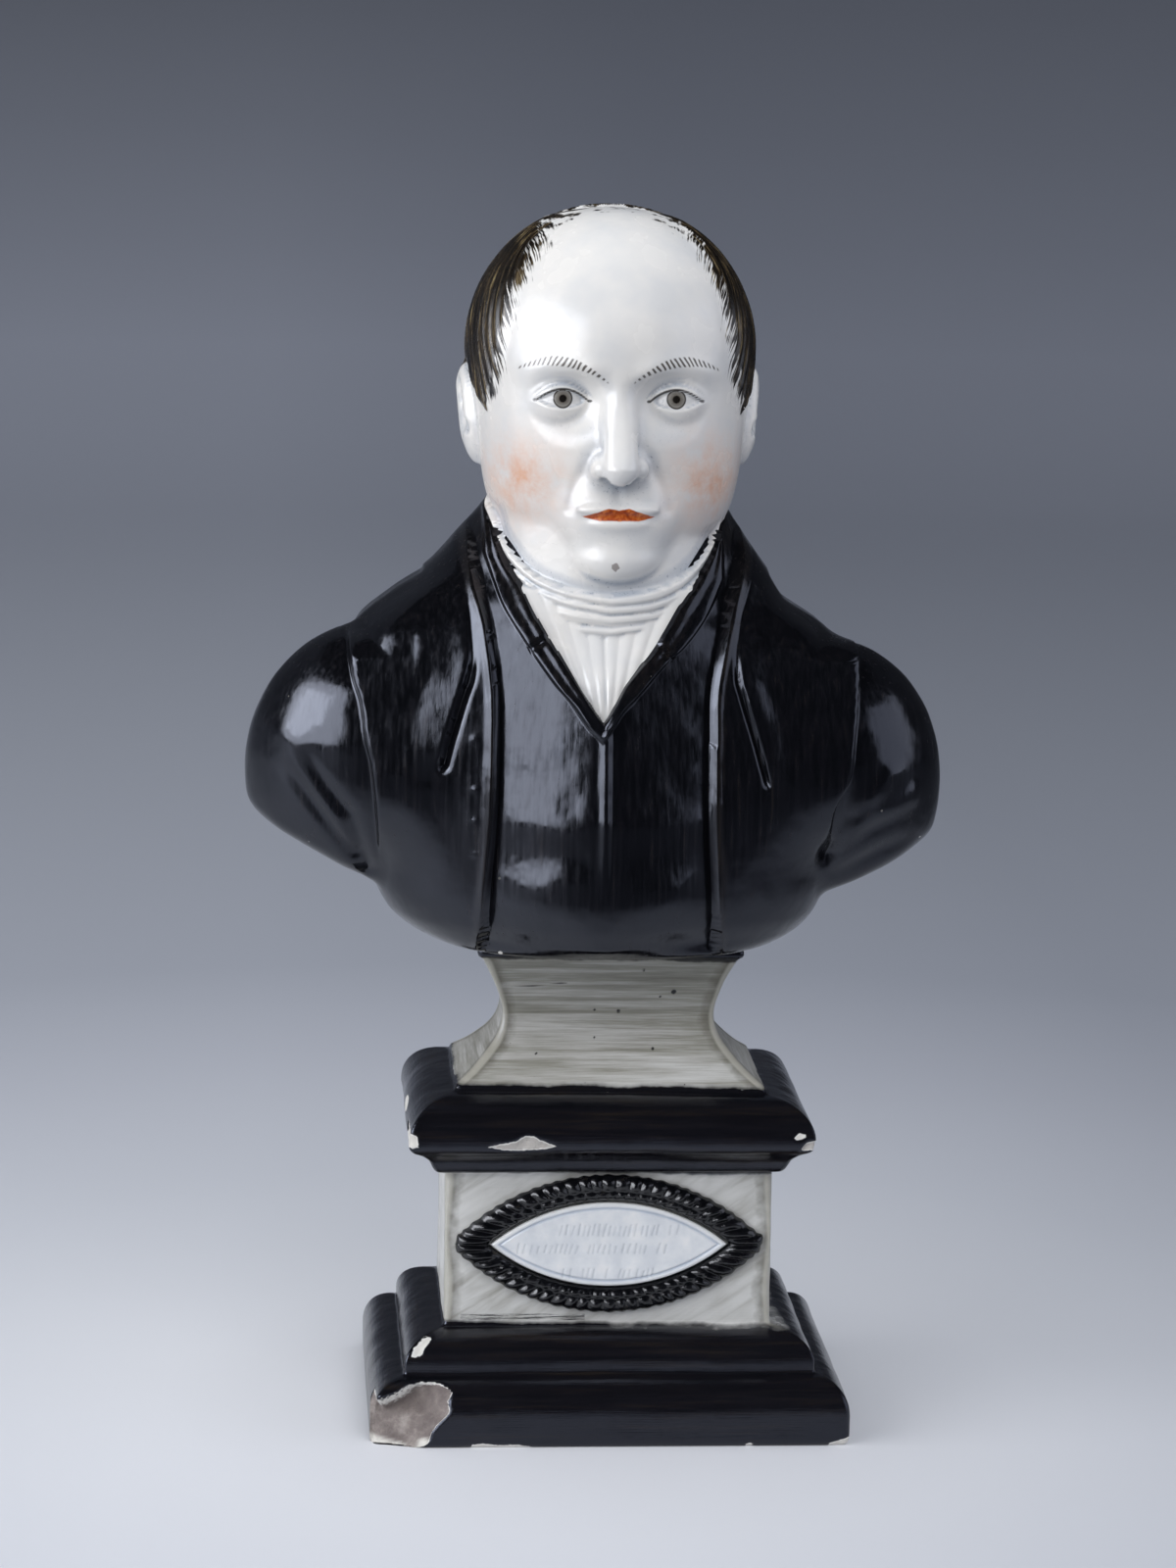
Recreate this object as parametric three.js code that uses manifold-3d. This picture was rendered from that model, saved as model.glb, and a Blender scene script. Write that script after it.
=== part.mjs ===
// A glazed earthenware portrait bust on a moulded pedestal, about 320 mm tall.
// Millimetres, +Z up. The figure faces -Y and +X is to the right of someone looking at it.
// The origin is in the middle of the pedestal's underside.
import * as THREE from 'three';
import { mergeVertices } from 'three/addons/utils/BufferGeometryUtils.js';
import Module from 'manifold-3d';

const wasm = await Module();
wasm.setup();

// Driving dimensions
const seamGap = 0.3;              // slip joint between two pieces that touch

// Pedestal: half the size of its plain middle block, and the heights of its mouldings
const dieHalfWidth = 43.3;
const dieHalfDepth = 26.4;
const slabReach = 19.8;           // how far the bottom slab stands out from the block
const slabTop = 7.6;
const stepReach = 10.8;           // how far the upper step of the base stands out
const stepBottom = 17.0;
const stepShoulder = 19.5;        // where the upper step starts to round over
const dieBottom = 27.3;
const dieTop = 69.4;
const corniceReach = 10.0;
const corniceEdge = 79.8;         // top of the cornice's upright edge
const socleBottom = 90.1;
const socleFoot = -2.2;           // the socle's foot lies inside the line of the block
const pedestalTop = 127.6;
const neckSlabReach = -8.2;
const arrisRadius = 0.9;

// Corner of the base that has broken off: a shallow shell-shaped scar
const scarRadius = 60;
const scarCentre = new THREE.Vector3(-76.6, -88.8, 32.4);

// Tablet and border on the front of the block
const tabletHeight = 49.8;        // height of its middle
const tabletHalfHeight = 11.7;
const arcDrop = 37.4;             // centres of the pointed oval's two arcs, above and below
const tabletThickness = 1.5;
const borderWidth = 7.1;
const borderThickness = 3.1;
const borderHollow = 0.4;         // channel along the strip's back, where the slip lies
const borderKnobs = 54;           // knobs and notches along one arc, in two rows
const knobReach = 1.7;            // from the strip's middle to the tops of a row
const notchHeight = 0.72;         // share of the thickness left in a notch
const notchWidth = 0.93;
const valleyHeight = 0.74;        // share of the thickness left between the rows

// Bust: the coat's level cross-sections, with their reach to each side of the middle
const bodyCentre = -3;
const bustBottom = pedestalTop + seamGap;
const coatSections = [
  { z: bustBottom, left: 37.0, right: 35.0, front: 17.6, back: 17.0 },
  { z: 128.5, left: 42.0, right: 40.5, front: 31.0, back: 24.5 },
  { z: 130.0, left: 47.5, right: 45.5, front: 35.5, back: 27.5 },
  { z: 133.0, left: 53.0, right: 50.5, front: 38.6, back: 29.2 },
  { z: 138.0, left: 58.5, right: 54.5, front: 41.0, back: 30.8 },
  { z: 146.0, left: 62.3, right: 57.8, front: 42.3, back: 32.0 },
  { z: 165.0, left: 66.5, right: 61.5, front: 43.2, back: 34.5 },
  { z: 185.0, left: 70.0, right: 64.0, front: 41.3, back: 36.2 },
  { z: 203.0, left: 70.5, right: 63.0, front: 37.6, back: 36.2 },
  { z: 212.0, left: 67.5, right: 55.5, front: 34.8, back: 34.5 },
  { z: 220.0, left: 58.4, right: 44.2, front: 32.0, back: 32.0 },
  { z: 227.0, left: 47.8, right: 39.5, front: 29.3, back: 29.4 },
  { z: 235.0, left: 40.5, right: 33.7, front: 26.0, back: 27.2 },
  { z: 243.0, left: 33.4, right: 28.5, front: 22.0, back: 26.0 },
  { z: 250.0, left: 29.0, right: 25.0, front: 17.5, back: 25.2 },
];
const coatRoundness = 2.5;        // power of the cross-section, where 2 is an ellipse
const coatTopRounding = 6;        // softness of the coat's upper rim
const panelStart = 40;            // how far out the coat's nearly flat panels start
const panelSoftness = 5;
const panelFlatness = 0.68;       // 1 would make a panel quite flat

// Sleeves: a rounded shoulder each, cut off on a slant under the arm
const sleeves = [
  { x: -62, z: 172, width: 34.4, depth: 32, height: 40, cutX: -95.6, cutZ: 164.0, slant: 28.8 },
  { x: 56, z: 168, width: 32.1, depth: 32, height: 40, cutX: 87.0, cutZ: 157.3, slant: -24.5 },
];
const sleeveY = 2;
const sleeveLean = 0.2;           // how far the sleeves lean forward for each millimetre up
const armholeLeft = -65;
const armholeRight = 60;

// Dress: half-widths are measured from the line of the waistcoat's closing edge
const dressCentre = -4.4;
const openingTip = 191.5;         // point of the waistcoat's V
const openingSlope = 0.66;        // half-width gained for each millimetre of height
const openingHalfWidth = 33;      // where the V meets the sides of the neck
const cravatTilt = 0.55;          // the neckcloth rises towards the nape by this much
const cravatTopFront = 223.6;
const cravatX = -3;
const cravatY = -5;
const cravatHalfWidth = 31;
const cravatHalfDepth = 28.5;
const edgeSoftness = 0.7;         // half the width of the slope at the edge of each layer of cloth
const chestKeel = 5.0;            // how far the waistcoat stands out along its closing
const chestFall = 0.3;            // how fast it falls away to either side
const chestHalfWidth = 28;
const collarThickness = 1.2;
const coatThickness = 0.9;
const edgeRollHeight = 1.0;       // rolled edge down each front of the coat
const bandThickness = 0.9;        // the waistcoat's standing collar
const openingDepth = 3.4;
const creaseWidth = 2.6;

// Head
const headX = -1.5;
const headTop = 320.4;
const chinHeight = 226;
const skullHeight = 284;          // height of the skull's middle
const skullHalfWidth = 37;
const skullHalfDepth = 40.5;
const skullY = 3;

// Face, by the usual proportions: eyes halfway up the head, then even thirds below the brow
const eyeHeight = (headTop + chinHeight) / 2;
const browHeight = eyeHeight + 7.8;
const noseBaseHeight = (browHeight + chinHeight) / 2;
const mouthHeight = noseBaseHeight - (noseBaseHeight - chinHeight) / 3;
const eyeSpacing = 14.5;          // middle of the face to the middle of an eye
const noseRoot = eyeHeight + 4;
const noseForward = 9.3;          // how far the tip stands out beyond the root
const rootRadius = 3.4;
const tipRadius = 4.6;
const faceFront = -31.5;

// Rounded masses of the head: middle, then half width, half depth and half height. Those of a
// pair lie at x on either side of the face's middle line.
const masses = {
  jaw: { x: 0, y: -4.5, z: 254, size: [33.4, 30, 31] },
  chin: { x: 0, y: -26, z: chinHeight + 6.4, size: [11.5, 10.6, 7.4] },
  socket: { x: eyeSpacing, y: -37.5, z: eyeHeight - 0.4, size: [11.5, 7.4, 8.2] },
  eye: { x: eyeSpacing, y: -25, z: eyeHeight, size: [8.0, 8, 6.4] },
  nostrilWing: { x: 4.6, y: -36.6, z: noseBaseHeight + 3.0, size: [3.3, 4.2, 3.2] },
  muzzle: { x: 0, y: -27, z: mouthHeight + 0.4, size: [15, 9.6, 11.5] },
  upperLip: { x: 3.2, y: -34.4, z: mouthHeight + 1.5, size: [7.4, 3.0, 1.9] },
  lowerLip: { x: 0, y: -34.2, z: mouthHeight - 2.1, size: [7.8, 3.3, 2.2] },
  earHollow: { x: 42.4, y: 2.6, z: 268, size: [3.6, 4.2, 8.0] },
  earShell: { x: 36.6, y: 4, z: 267, size: [4.6, 8.2, 13.6] },
};
const earLean = 0.2;
const browThickness = 0.9;
const hairThickness = 1.1;
const hairlineRadius = 31;        // the hairline is an arc in the side view
const hairlineY = 8;
const hairlineZ = 289;

// Mesh: how many points go round the bust, and how much closer they lie in front
const bustColumns = 60;
const frontCrowding = 0.45;
const trackSpacing = 1.1;         // least distance between two lines of points on the dress
const crownRows = 9;
const rowSteps = [                // height, then the distance from one ring of points to the next
  [128, 0.9], [132, 3], [142, 3.6], [160, 3.8], [180, 6.6], [212, 3], [284, 2.7],
];
const raySpreads = [              // height, then half the length of the line that its rays start on
  [128, 22], [146, 34], [165, 48], [200, 48], [214, 38], [228, 18], [256, 0],
];

// Small tools for shaping

function clamp01(value) {
  return Math.min(Math.max(value, 0), 1);
}

// 0 below the first edge, 1 above the second, with a smooth slope between
function ramp(from, to, value) {
  const t = clamp01((value - from) / (to - from));
  return t * t * (3 - 2 * t);
}

// A rounded bump of height 1 at 0, gone at about one and a half widths
function bump(distance, width) {
  return Math.exp(-((distance / width) ** 2));
}

// Joins two solids, given as distances, with a fillet about as wide as size
function join(a, b, size) {
  const overlap = Math.max(size - Math.abs(a - b), 0) / size;
  return Math.min(a, b) - (overlap * overlap * size) / 4;
}

// Keeps what two solids share, with a rounded edge
function keepBoth(a, b, size) {
  return -join(-a, -b, size);
}

// About the distance from a point to an ellipsoid's surface, below 0 inside
function ellipsoid(x, y, z, width, depth, height) {
  const near = Math.hypot(x / width, y / depth, z / height);
  const slope = Math.hypot(x / width ** 2, y / depth ** 2, z / height ** 2);
  return slope > 0 ? (near * (near - 1)) / slope : -Math.min(width, depth, height);
}

// A smooth curve through [place, value] pairs that never overshoots them
function curveThrough(pairs) {
  const last = pairs.length - 1;
  const slopes = [];
  for (let i = 0; i < last; i += 1) {
    slopes.push((pairs[i + 1][1] - pairs[i][1]) / (pairs[i + 1][0] - pairs[i][0]));
  }
  const tangents = [slopes[0]];
  for (let i = 1; i < last; i += 1) {
    const turns = slopes[i - 1] * slopes[i] <= 0;
    tangents.push(turns ? 0 : (2 * slopes[i - 1] * slopes[i]) / (slopes[i - 1] + slopes[i]));
  }
  tangents.push(slopes[last - 1]);
  return (place) => {
    const inside = Math.min(Math.max(place, pairs[0][0]), pairs[last][0]);
    let i = 0;
    while (i < last - 1 && inside > pairs[i + 1][0]) {
      i += 1;
    }
    const length = pairs[i + 1][0] - pairs[i][0];
    const t = (inside - pairs[i][0]) / length;
    const start = pairs[i][1] * (1 - t) ** 2 * (1 + 2 * t) + tangents[i] * length * t * (1 - t) ** 2;
    const end = pairs[i + 1][1] * t * t * (3 - 2 * t) - tangents[i + 1] * length * t * t * (1 - t);
    return start + end;
  };
}

// Distance in the front view from a point to a line through a few [x, z] places
function lineDistance(x, z, places) {
  let nearest = Infinity;
  for (let i = 0; i < places.length - 1; i += 1) {
    const [ax, az] = places[i];
    const [bx, bz] = places[i + 1];
    const lengthSquared = (bx - ax) ** 2 + (bz - az) ** 2;
    const t = clamp01(((x - ax) * (bx - ax) + (z - az) * (bz - az)) / lengthSquared);
    nearest = Math.min(nearest, Math.hypot(x - ax - t * (bx - ax), z - az - t * (bz - az)));
  }
  return nearest;
}

// A closed mesh from rings of points, listed from the bottom up and turning the same way
function skinRings(rings, closesOnItself) {
  const count = rings[0].length;
  const points = rings.flat();
  const faces = [];
  const ringPairs = closesOnItself ? rings.length : rings.length - 1;
  for (let r = 0; r < ringPairs; r += 1) {
    for (let c = 0; c < count; c += 1) {
      const a = r * count + c;
      const b = r * count + ((c + 1) % count);
      const d = ((r + 1) % rings.length) * count + c;
      const e = ((r + 1) % rings.length) * count + ((c + 1) % count);
      faces.push(a, b, e, a, e, d);
    }
  }
  if (!closesOnItself) {
    for (const [ring, flip] of [[0, true], [rings.length - 1, false]]) {
      const middle = points.length;
      const centre = new THREE.Vector3();
      rings[ring].forEach((point) => centre.add(point));
      points.push(centre.divideScalar(count));
      for (let c = 0; c < count; c += 1) {
        const a = ring * count + c;
        const b = ring * count + ((c + 1) % count);
        faces.push(...(flip ? [middle, b, a] : [middle, a, b]));
      }
    }
  }
  const geometry = new THREE.BufferGeometry();
  geometry.setFromPoints(points);
  geometry.setIndex(faces);
  return geometry;
}

// Takes one solid away from another
function subtract(geometry, tool) {
  const solids = [geometry, tool].map((source) => {
    const bare = source.clone();
    bare.deleteAttribute('normal');
    bare.deleteAttribute('uv');
    const merged = mergeVertices(bare, 1e-4);
    return new wasm.Manifold(new wasm.Mesh({
      numProp: 3,
      vertProperties: new Float32Array(merged.attributes.position.array),
      triVerts: new Uint32Array(merged.index.array),
    }));
  });
  const result = solids[0].subtract(solids[1]).getMesh();
  const cut = new THREE.BufferGeometry();
  cut.setAttribute('position', new THREE.BufferAttribute(result.vertProperties, 3));
  cut.setIndex(new THREE.BufferAttribute(result.triVerts, 1));
  return cut;
}

// Pedestal: one moulding carried round a rectangle and mitred at its corners

// A quarter of an ellipse from straight out to straight up, as [reach, height] places
function quarterRound(centreReach, centreHeight, reach, height, steps) {
  const places = [];
  for (let i = 0; i <= steps; i += 1) {
    const angle = (Math.PI / 2) * (i / steps);
    places.push([centreReach + reach * Math.cos(angle), centreHeight + height * Math.sin(angle)]);
  }
  return places;
}

function pedestalProfile() {
  const socle = new THREE.SplineCurve([
    new THREE.Vector2(socleFoot - 0.3, socleBottom + 1.6),
    new THREE.Vector2(-7.8, 95.8),
    new THREE.Vector2(-13.6, 102.4),
    new THREE.Vector2(-15.3, 109.0),
    new THREE.Vector2(-13.2, 116.6),
    new THREE.Vector2(-9.6, 124.4),
  ]);
  return [
    [slabReach - 0.6, 0],
    [slabReach, 0.6],
    ...quarterRound(stepReach, slabTop, slabReach - stepReach, stepBottom - slabTop, 5),
    ...quarterRound(0.6, stepShoulder, stepReach - 0.6, dieBottom - stepShoulder, 5),
    [0, dieBottom + 0.2],
    [0, dieTop],
    [2.6, dieTop + 0.3],
    [3.4, 71.0],
    [4.4, 73.4],
    [6.4, 75.2],
    [9.0, 76.6],
    [corniceReach, 78.2],
    ...quarterRound(socleFoot, corniceEdge, corniceReach - socleFoot, socleBottom - corniceEdge, 6),
    ...socle.getPoints(12).map((place) => [place.x, place.y]),
    [neckSlabReach, 125.2],
    [neckSlabReach, pedestalTop],
  ];
}

function pedestalGeometry() {
  const cornerSteps = 2;
  const rings = pedestalProfile().map(([reach, height]) => {
    const ring = [];
    for (const [sideX, sideY, start] of [[1, -1, -90], [1, 1, 0], [-1, 1, 90], [-1, -1, 180]]) {
      const cornerX = sideX * (dieHalfWidth + reach - arrisRadius);
      const cornerY = sideY * (dieHalfDepth + reach - arrisRadius);
      for (let i = 0; i <= cornerSteps; i += 1) {
        const angle = THREE.MathUtils.degToRad(start + (90 * i) / cornerSteps);
        const x = cornerX + arrisRadius * Math.cos(angle);
        const y = cornerY + arrisRadius * Math.sin(angle);
        ring.push(new THREE.Vector3(x, y, height));
      }
    }
    return ring;
  });
  const scar = new THREE.IcosahedronGeometry(scarRadius, 5);
  scar.translate(scarCentre.x, scarCentre.y, scarCentre.z);
  return subtract(skinRings(rings, false), scar);
}

// Tablet and border: a pointed oval between two arcs, in the plane of the block's front

// Places along the pointed oval whose arcs have this radius, turning from the right tip
function pointedOval(radius, stepsPerArc) {
  const halfAngle = Math.acos(arcDrop / radius);
  const places = [];
  for (const side of [1, -1]) {
    for (let i = 0; i < stepsPerArc; i += 1) {
      const angle = halfAngle * (1 - (2 * i) / stepsPerArc);
      const across = side * radius * Math.sin(angle);
      const up = side * (radius * Math.cos(angle) - arcDrop);
      places.push([across, up]);
    }
  }
  return places;
}

function tabletGeometry() {
  const radius = tabletHalfHeight + arcDrop - seamGap;
  const places = pointedOval(radius, 22);
  const shape = new THREE.Shape(places.map(([across, up]) => new THREE.Vector2(across, up)));
  const geometry = new THREE.ExtrudeGeometry(shape, { depth: tabletThickness, bevelEnabled: false });
  geometry.rotateX(Math.PI / 2);
  return geometry;
}

// The strip's cross-section, across its width and out from the block, high at a knob
function borderSection(isKnob) {
  const swell = isKnob ? 1 : notchHeight;
  const edge = (borderWidth / 2) * (isKnob ? 1 : notchWidth);
  return [
    [-borderWidth / 2, 0],
    [0, borderHollow],
    [borderWidth / 2, 0],
    [edge, 0.5 * borderThickness * swell],
    [knobReach, borderThickness * swell],
    [0, borderThickness * valleyHeight],
    [-knobReach, borderThickness * swell],
    [-edge, 0.5 * borderThickness * swell],
  ];
}

function borderGeometry() {
  const middleRadius = tabletHalfHeight + arcDrop + borderWidth / 2;
  const rings = [];
  for (let i = 0; i < 2 * borderKnobs; i += 1) {
    const ring = borderSection(i % 2 === 1).map(([inward, height]) => {
      const [across, up] = pointedOval(middleRadius - inward, borderKnobs)[i];
      return new THREE.Vector3(across, -height, up);
    });
    rings.push(ring);
  }
  return skinRings(rings, true);
}

// Bust

const coatReach = {};
for (const side of ['left', 'right', 'front', 'back']) {
  coatReach[side] = curveThrough(coatSections.map((section) => [section.z, section[side]]));
}
const coatTop = coatSections[coatSections.length - 1].z;

// Between each lapel and armhole the coat's front is nearly flat
function panelSqueeze(x, y, z, shareOfWidth) {
  const past = Math.abs(x - bodyCentre) - panelStart;
  const armhole = Math.max(armholeLeft - x, x - armholeRight);
  const inside = ramp(1, -1.5, armhole) * Math.max(ramp(1, 0.88, shareOfWidth), ramp(204, 190, z));
  const front = ramp(-6, -16, y) * ramp(148, 174, z) * ramp(238, 224, z);
  return (panelFlatness * inside * front * (past + Math.hypot(past, panelSoftness))) / 2;
}

function coatBody(x, y, z) {
  const across = x - bodyCentre;
  const width = across < 0 ? coatReach.left(z) + bodyCentre : coatReach.right(z) - bodyCentre;
  const depth = y < 0 ? coatReach.front(z) : coatReach.back(z);
  const power = coatRoundness;
  const squeezed = Math.abs(across) - panelSqueeze(x, y, z, Math.abs(across) / width);
  const share = (Math.abs(squeezed / width) ** power + Math.abs(y / depth) ** power) ** (1 / power);
  const wall = share > 0.01 ? Math.hypot(across, y) * (1 - 1 / share) : -depth;
  return keepBoth(wall, z - coatTop, coatTopRounding);
}

function sleeve(x, y, z, arm) {
  const forward = y - sleeveY + sleeveLean * (z - arm.z);
  const shoulder = ellipsoid(x - arm.x, forward, z - arm.z, arm.width, arm.depth, arm.height);
  const slant = THREE.MathUtils.degToRad(arm.slant);
  const below = -(x - arm.cutX) * Math.sin(slant) - (z - arm.cutZ) * Math.cos(slant);
  return keepBoth(shoulder, below, 3);
}

// Height above the slanting plane of the neckcloth's upper edge
function aboveCravat(y, z) {
  return z - cravatTopFront - cravatTilt * (y + 33);
}

function cravat(x, y, z) {
  const around = ellipsoid(x - cravatX, y - cravatY, 0, cravatHalfWidth, cravatHalfDepth, 1000);
  const hidden = openingTip - z;
  return keepBoth(keepBoth(around, aboveCravat(y, z), 4), hidden, 4);
}

// About the distance to one of the head's masses, from a place this far to the side
function mass(name, side, y, z) {
  const { x: middle, y: depth, z: height, size } = masses[name];
  return ellipsoid(side - middle, y - depth, z - height, ...size);
}

function nose(side, y, z) {
  const length = noseRoot - noseBaseHeight - (tipRadius - 1);
  const along = clamp01((noseRoot - z) / length);
  const ridgeY = faceFront - noseForward * along;
  const ridgeZ = noseRoot - length * along;
  const radius = rootRadius + (tipRadius - rootRadius) * along;
  const ridge = Math.hypot(side, y - ridgeY, z - ridgeZ) - radius;
  return join(ridge, mass('nostrilWing', side, y, z), 2.4);
}

function mouth(side, y, z) {
  const lips = Math.min(mass('upperLip', side, y, z), mass('lowerLip', side, y, z));
  return join(mass('muzzle', side, y, z), lips, 1.2);
}

function ear(side, y, z) {
  const leaning = y - earLean * (z - masses.earShell.z);
  return keepBoth(mass('earShell', side, leaning, z), -mass('earHollow', side, y, z), 1.2);
}

// Hair lies behind the hairline, down to the ear and nape
function hairCover(y, z) {
  const insideArc = hairlineRadius - Math.hypot(y - hairlineY, z - hairlineZ);
  const lowerEdge = z - 268 + 1.1 * Math.max(y - 10, 0);
  const behind = Math.max(insideArc, y - hairlineY);
  return ramp(-2, 2, Math.min(behind, lowerEdge));
}

function head(x, y, z) {
  const side = Math.abs(x - headX);
  const skullRise = headTop - skullHeight;
  const skull = ellipsoid(side, y - skullY, z - skullHeight, skullHalfWidth, skullHalfDepth, skullRise);
  let face = join(join(skull, mass('jaw', side, y, z), 14), mass('chin', side, y, z), 9);
  face = keepBoth(face, -mass('socket', side, y, z), 5);
  const browArch = browHeight + 0.6 - 0.012 * (side - eyeSpacing) ** 2;
  const inFront = ramp(-10, -20, y);
  face -= browThickness * bump(z - browArch, 3) * ramp(30, 20, side) * ramp(2, 8, side) * inFront;
  face = join(face, mass('eye', side, y, z), 1.5);
  face = join(face, mouth(side, y, z), 4);
  face = join(face, nose(side, y, z), 3.4);
  face -= hairThickness * hairCover(y, z) * ramp(246, 252, z);
  return join(face, ear(side, y, z), 1.5);
}

// Half-widths of the dress's edges in the front view, by height
const coatEdge = curveThrough([[133, 30.7], [172, 28.1], [194, 27.9], [215, 30.9], [232, 32.5]]);
const collarOuter = curveThrough([
  [175.5, 41.9], [183, 45.2], [198, 48.7], [212, 49], [222, 47.5], [230, 44],
]);
const collarInner = curveThrough([[175.5, 41.9], [189.5, 38.3], [201.5, 34.3], [206, 32]]);

function openingHalf(z) {
  return Math.min(openingSlope * (z - openingTip), openingHalfWidth);
}

function bandWidth(z) {
  return 2.6 + 5 * ramp(openingTip, openingTip + 22, z);
}

// 0 inside an edge and 1 outside it
function pastEdge(distance) {
  return ramp(-edgeSoftness, edgeSoftness, distance);
}

const sleeveCreases = [
  { places: [[-82.7, 184], [-75, 172], [-69.4, 165], [-64, 149.5]], depth: 1.7 },
  { places: [[-86.7, 178.7], [-79.8, 169.8], [-73, 160]], depth: 1.2 },
  { places: [[55.9, 156], [59, 166], [62, 178]], depth: 1.3 },
  { places: [[55.9, 156], [66, 167], [74, 174]], depth: 1.6 },
  { places: [[55.9, 156], [66, 161], [79, 166]], depth: 1.4 },
];

// How far the dress stands out from the plain coat body, or below 0 how far it lies in
function dressRelief(x, y, z) {
  const side = Math.abs(x - dressCentre);
  const front = ramp(2, -8, y);
  const opening = side - openingHalf(z);
  const inOpening = 1 - pastEdge(opening);
  const onBand = pastEdge(opening) * (1 - pastEdge(opening - bandWidth(z)));
  const edge = side - coatEdge(z);
  const onCoat = pastEdge(edge);
  const onCollarFront = pastEdge(side - collarInner(z)) * (1 - pastEdge(side - collarOuter(z)));
  const collarFront = onCollarFront * ramp(175, 178, z);
  const backEdge = 213 + 13 * (side / 46) ** 2;
  const collarBack = ramp(-1, 1, z - backEdge);
  const collar = front * collarFront + (1 - front) * collarBack;
  const edgeRoll = bump(edge - 1.4, 1.7) * ramp(228, 215, z);
  const chestEnds = ramp(130, 140, z) * ramp(244, 222, z);
  const chest = (chestKeel - chestFall * Math.min(side, chestHalfWidth)) * chestEnds * (1 - onCoat);
  const inDepth = inOpening * (openingDepth + chest * ramp(200, 214, z));
  let relief = collarThickness * collar;
  relief += front * (coatThickness * onCoat + edgeRollHeight * edgeRoll);
  relief += front * (bandThickness * onBand + chest - inDepth);
  for (const crease of sleeveCreases) {
    relief -= front * crease.depth * bump(lineDistance(x, z, crease.places), creaseWidth);
  }
  return relief * ramp(128.5, 134, z);
}

// Below 0 inside the bust and above 0 outside, about as a distance
function bustField(x, y, z) {
  let coat = coatBody(x, y, z);
  for (const arm of sleeves) {
    coat = join(coat, sleeve(x, y, z, arm), 3.5);
  }
  coat -= dressRelief(x, y, z);
  return join(join(cravat(x, y, z), head(x, y, z), 3.5), coat, 1.5);
}

// The first point of the bust met when coming in along a ray from outside
function surfaceAlong(origin, direction) {
  const farthest = 110;
  const value = (distance) => {
    const x = origin.x + direction.x * distance;
    const y = origin.y + direction.y * distance;
    const z = origin.z + direction.z * distance;
    return bustField(x, y, z);
  };
  let outside = farthest;
  let inside = farthest;
  while (inside > 0.5) {
    const gap = value(inside);
    if (gap < 0) {
      break;
    }
    outside = inside;
    inside -= Math.max(0.4, 0.6 * gap);
  }
  for (let i = 0; i < 20; i += 1) {
    const middle = (inside + outside) / 2;
    if (value(middle) < 0) {
      inside = middle;
    } else {
      outside = middle;
    }
  }
  return direction.clone().multiplyScalar(inside).add(origin);
}

// Half-widths, at one height, of the lines that the points in front follow: the edges of the
// opening, its band, the coat's front edge and its collar, with a point on each side of a step
function dressTracks(z) {
  const opening = z > openingTip ? openingHalf(z) : 0.5 * Math.min(openingTip - z, 20);
  const band = opening + bandWidth(z);
  const edge = coatEdge(z);
  const tracks = [opening / 2, opening - edgeSoftness, opening + edgeSoftness];
  tracks.push(band - edgeSoftness, band + edgeSoftness, (band + edge) / 2);
  tracks.push(edge - edgeSoftness, edge + edgeSoftness, edge + 2.9);
  tracks.push(collarInner(z) - edgeSoftness, collarInner(z) + edgeSoftness);
  tracks.push(collarOuter(z) - edgeSoftness, collarOuter(z) + edgeSoftness);
  let previous = 0;
  return tracks.map((track) => {
    previous = Math.max(track, previous + trackSpacing);
    return previous;
  });
}

// The turn of the ray that starts on a line half as long as spread and goes through a place
function turnThrough(x, y, spread) {
  let low = -Math.PI / 2;
  let high = 0;
  for (let i = 0; i < 30; i += 1) {
    const turn = (low + high) / 2;
    const side = (Math.abs(x) - spread * Math.cos(turn)) * Math.sin(turn) - y * Math.cos(turn);
    if (side < 0) {
      low = turn;
    } else {
      high = turn;
    }
  }
  return x < 0 ? -Math.PI - low : low;
}

// The turns of a ring's rays, from the middle of the front, round by the right
function evenTurns() {
  const turns = [];
  for (let c = 0; c < bustColumns; c += 1) {
    const share = c / bustColumns;
    const crowded = share - (frontCrowding * Math.sin(2 * Math.PI * share)) / (2 * Math.PI);
    turns.push(2 * Math.PI * crowded - Math.PI / 2);
  }
  return turns;
}

function dressTurns(height, spread) {
  const place = (half) => {
    const x = dressCentre + half - bodyCentre;
    const width = x < 0 ? coatReach.left(height) + bodyCentre : coatReach.right(height) - bodyCentre;
    const share = Math.min(Math.abs(x / width), 0.97);
    const y = -coatReach.front(height) * (1 - share ** coatRoundness) ** (1 / coatRoundness);
    return turnThrough(x, y, spread);
  };
  const tracks = dressTracks(height);
  const right = [place(0), ...tracks.map((half) => place(half))];
  const left = tracks.map((half) => place(-half)).reverse();
  const rest = bustColumns - right.length - left.length;
  const from = right[right.length - 1];
  const to = left[0] + 2 * Math.PI;
  const round = [];
  for (let i = 1; i <= rest; i += 1) {
    round.push(from + ((to - from) * i) / (rest + 1));
  }
  return [...right, ...round, ...left.map((turn) => turn + 2 * Math.PI)];
}

// One ring of rays: level ones start spread along a line, so that long sections are met squarely
function bustRing(height, rise, spread, turns, centreX, centreY) {
  return turns.map((turn) => {
    const level = Math.cos(rise);
    const direction = new THREE.Vector3(level * Math.cos(turn), level * Math.sin(turn), Math.sin(rise));
    const origin = new THREE.Vector3(centreX + spread * Math.cos(turn), centreY, height);
    return surfaceAlong(origin, direction);
  });
}

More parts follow.
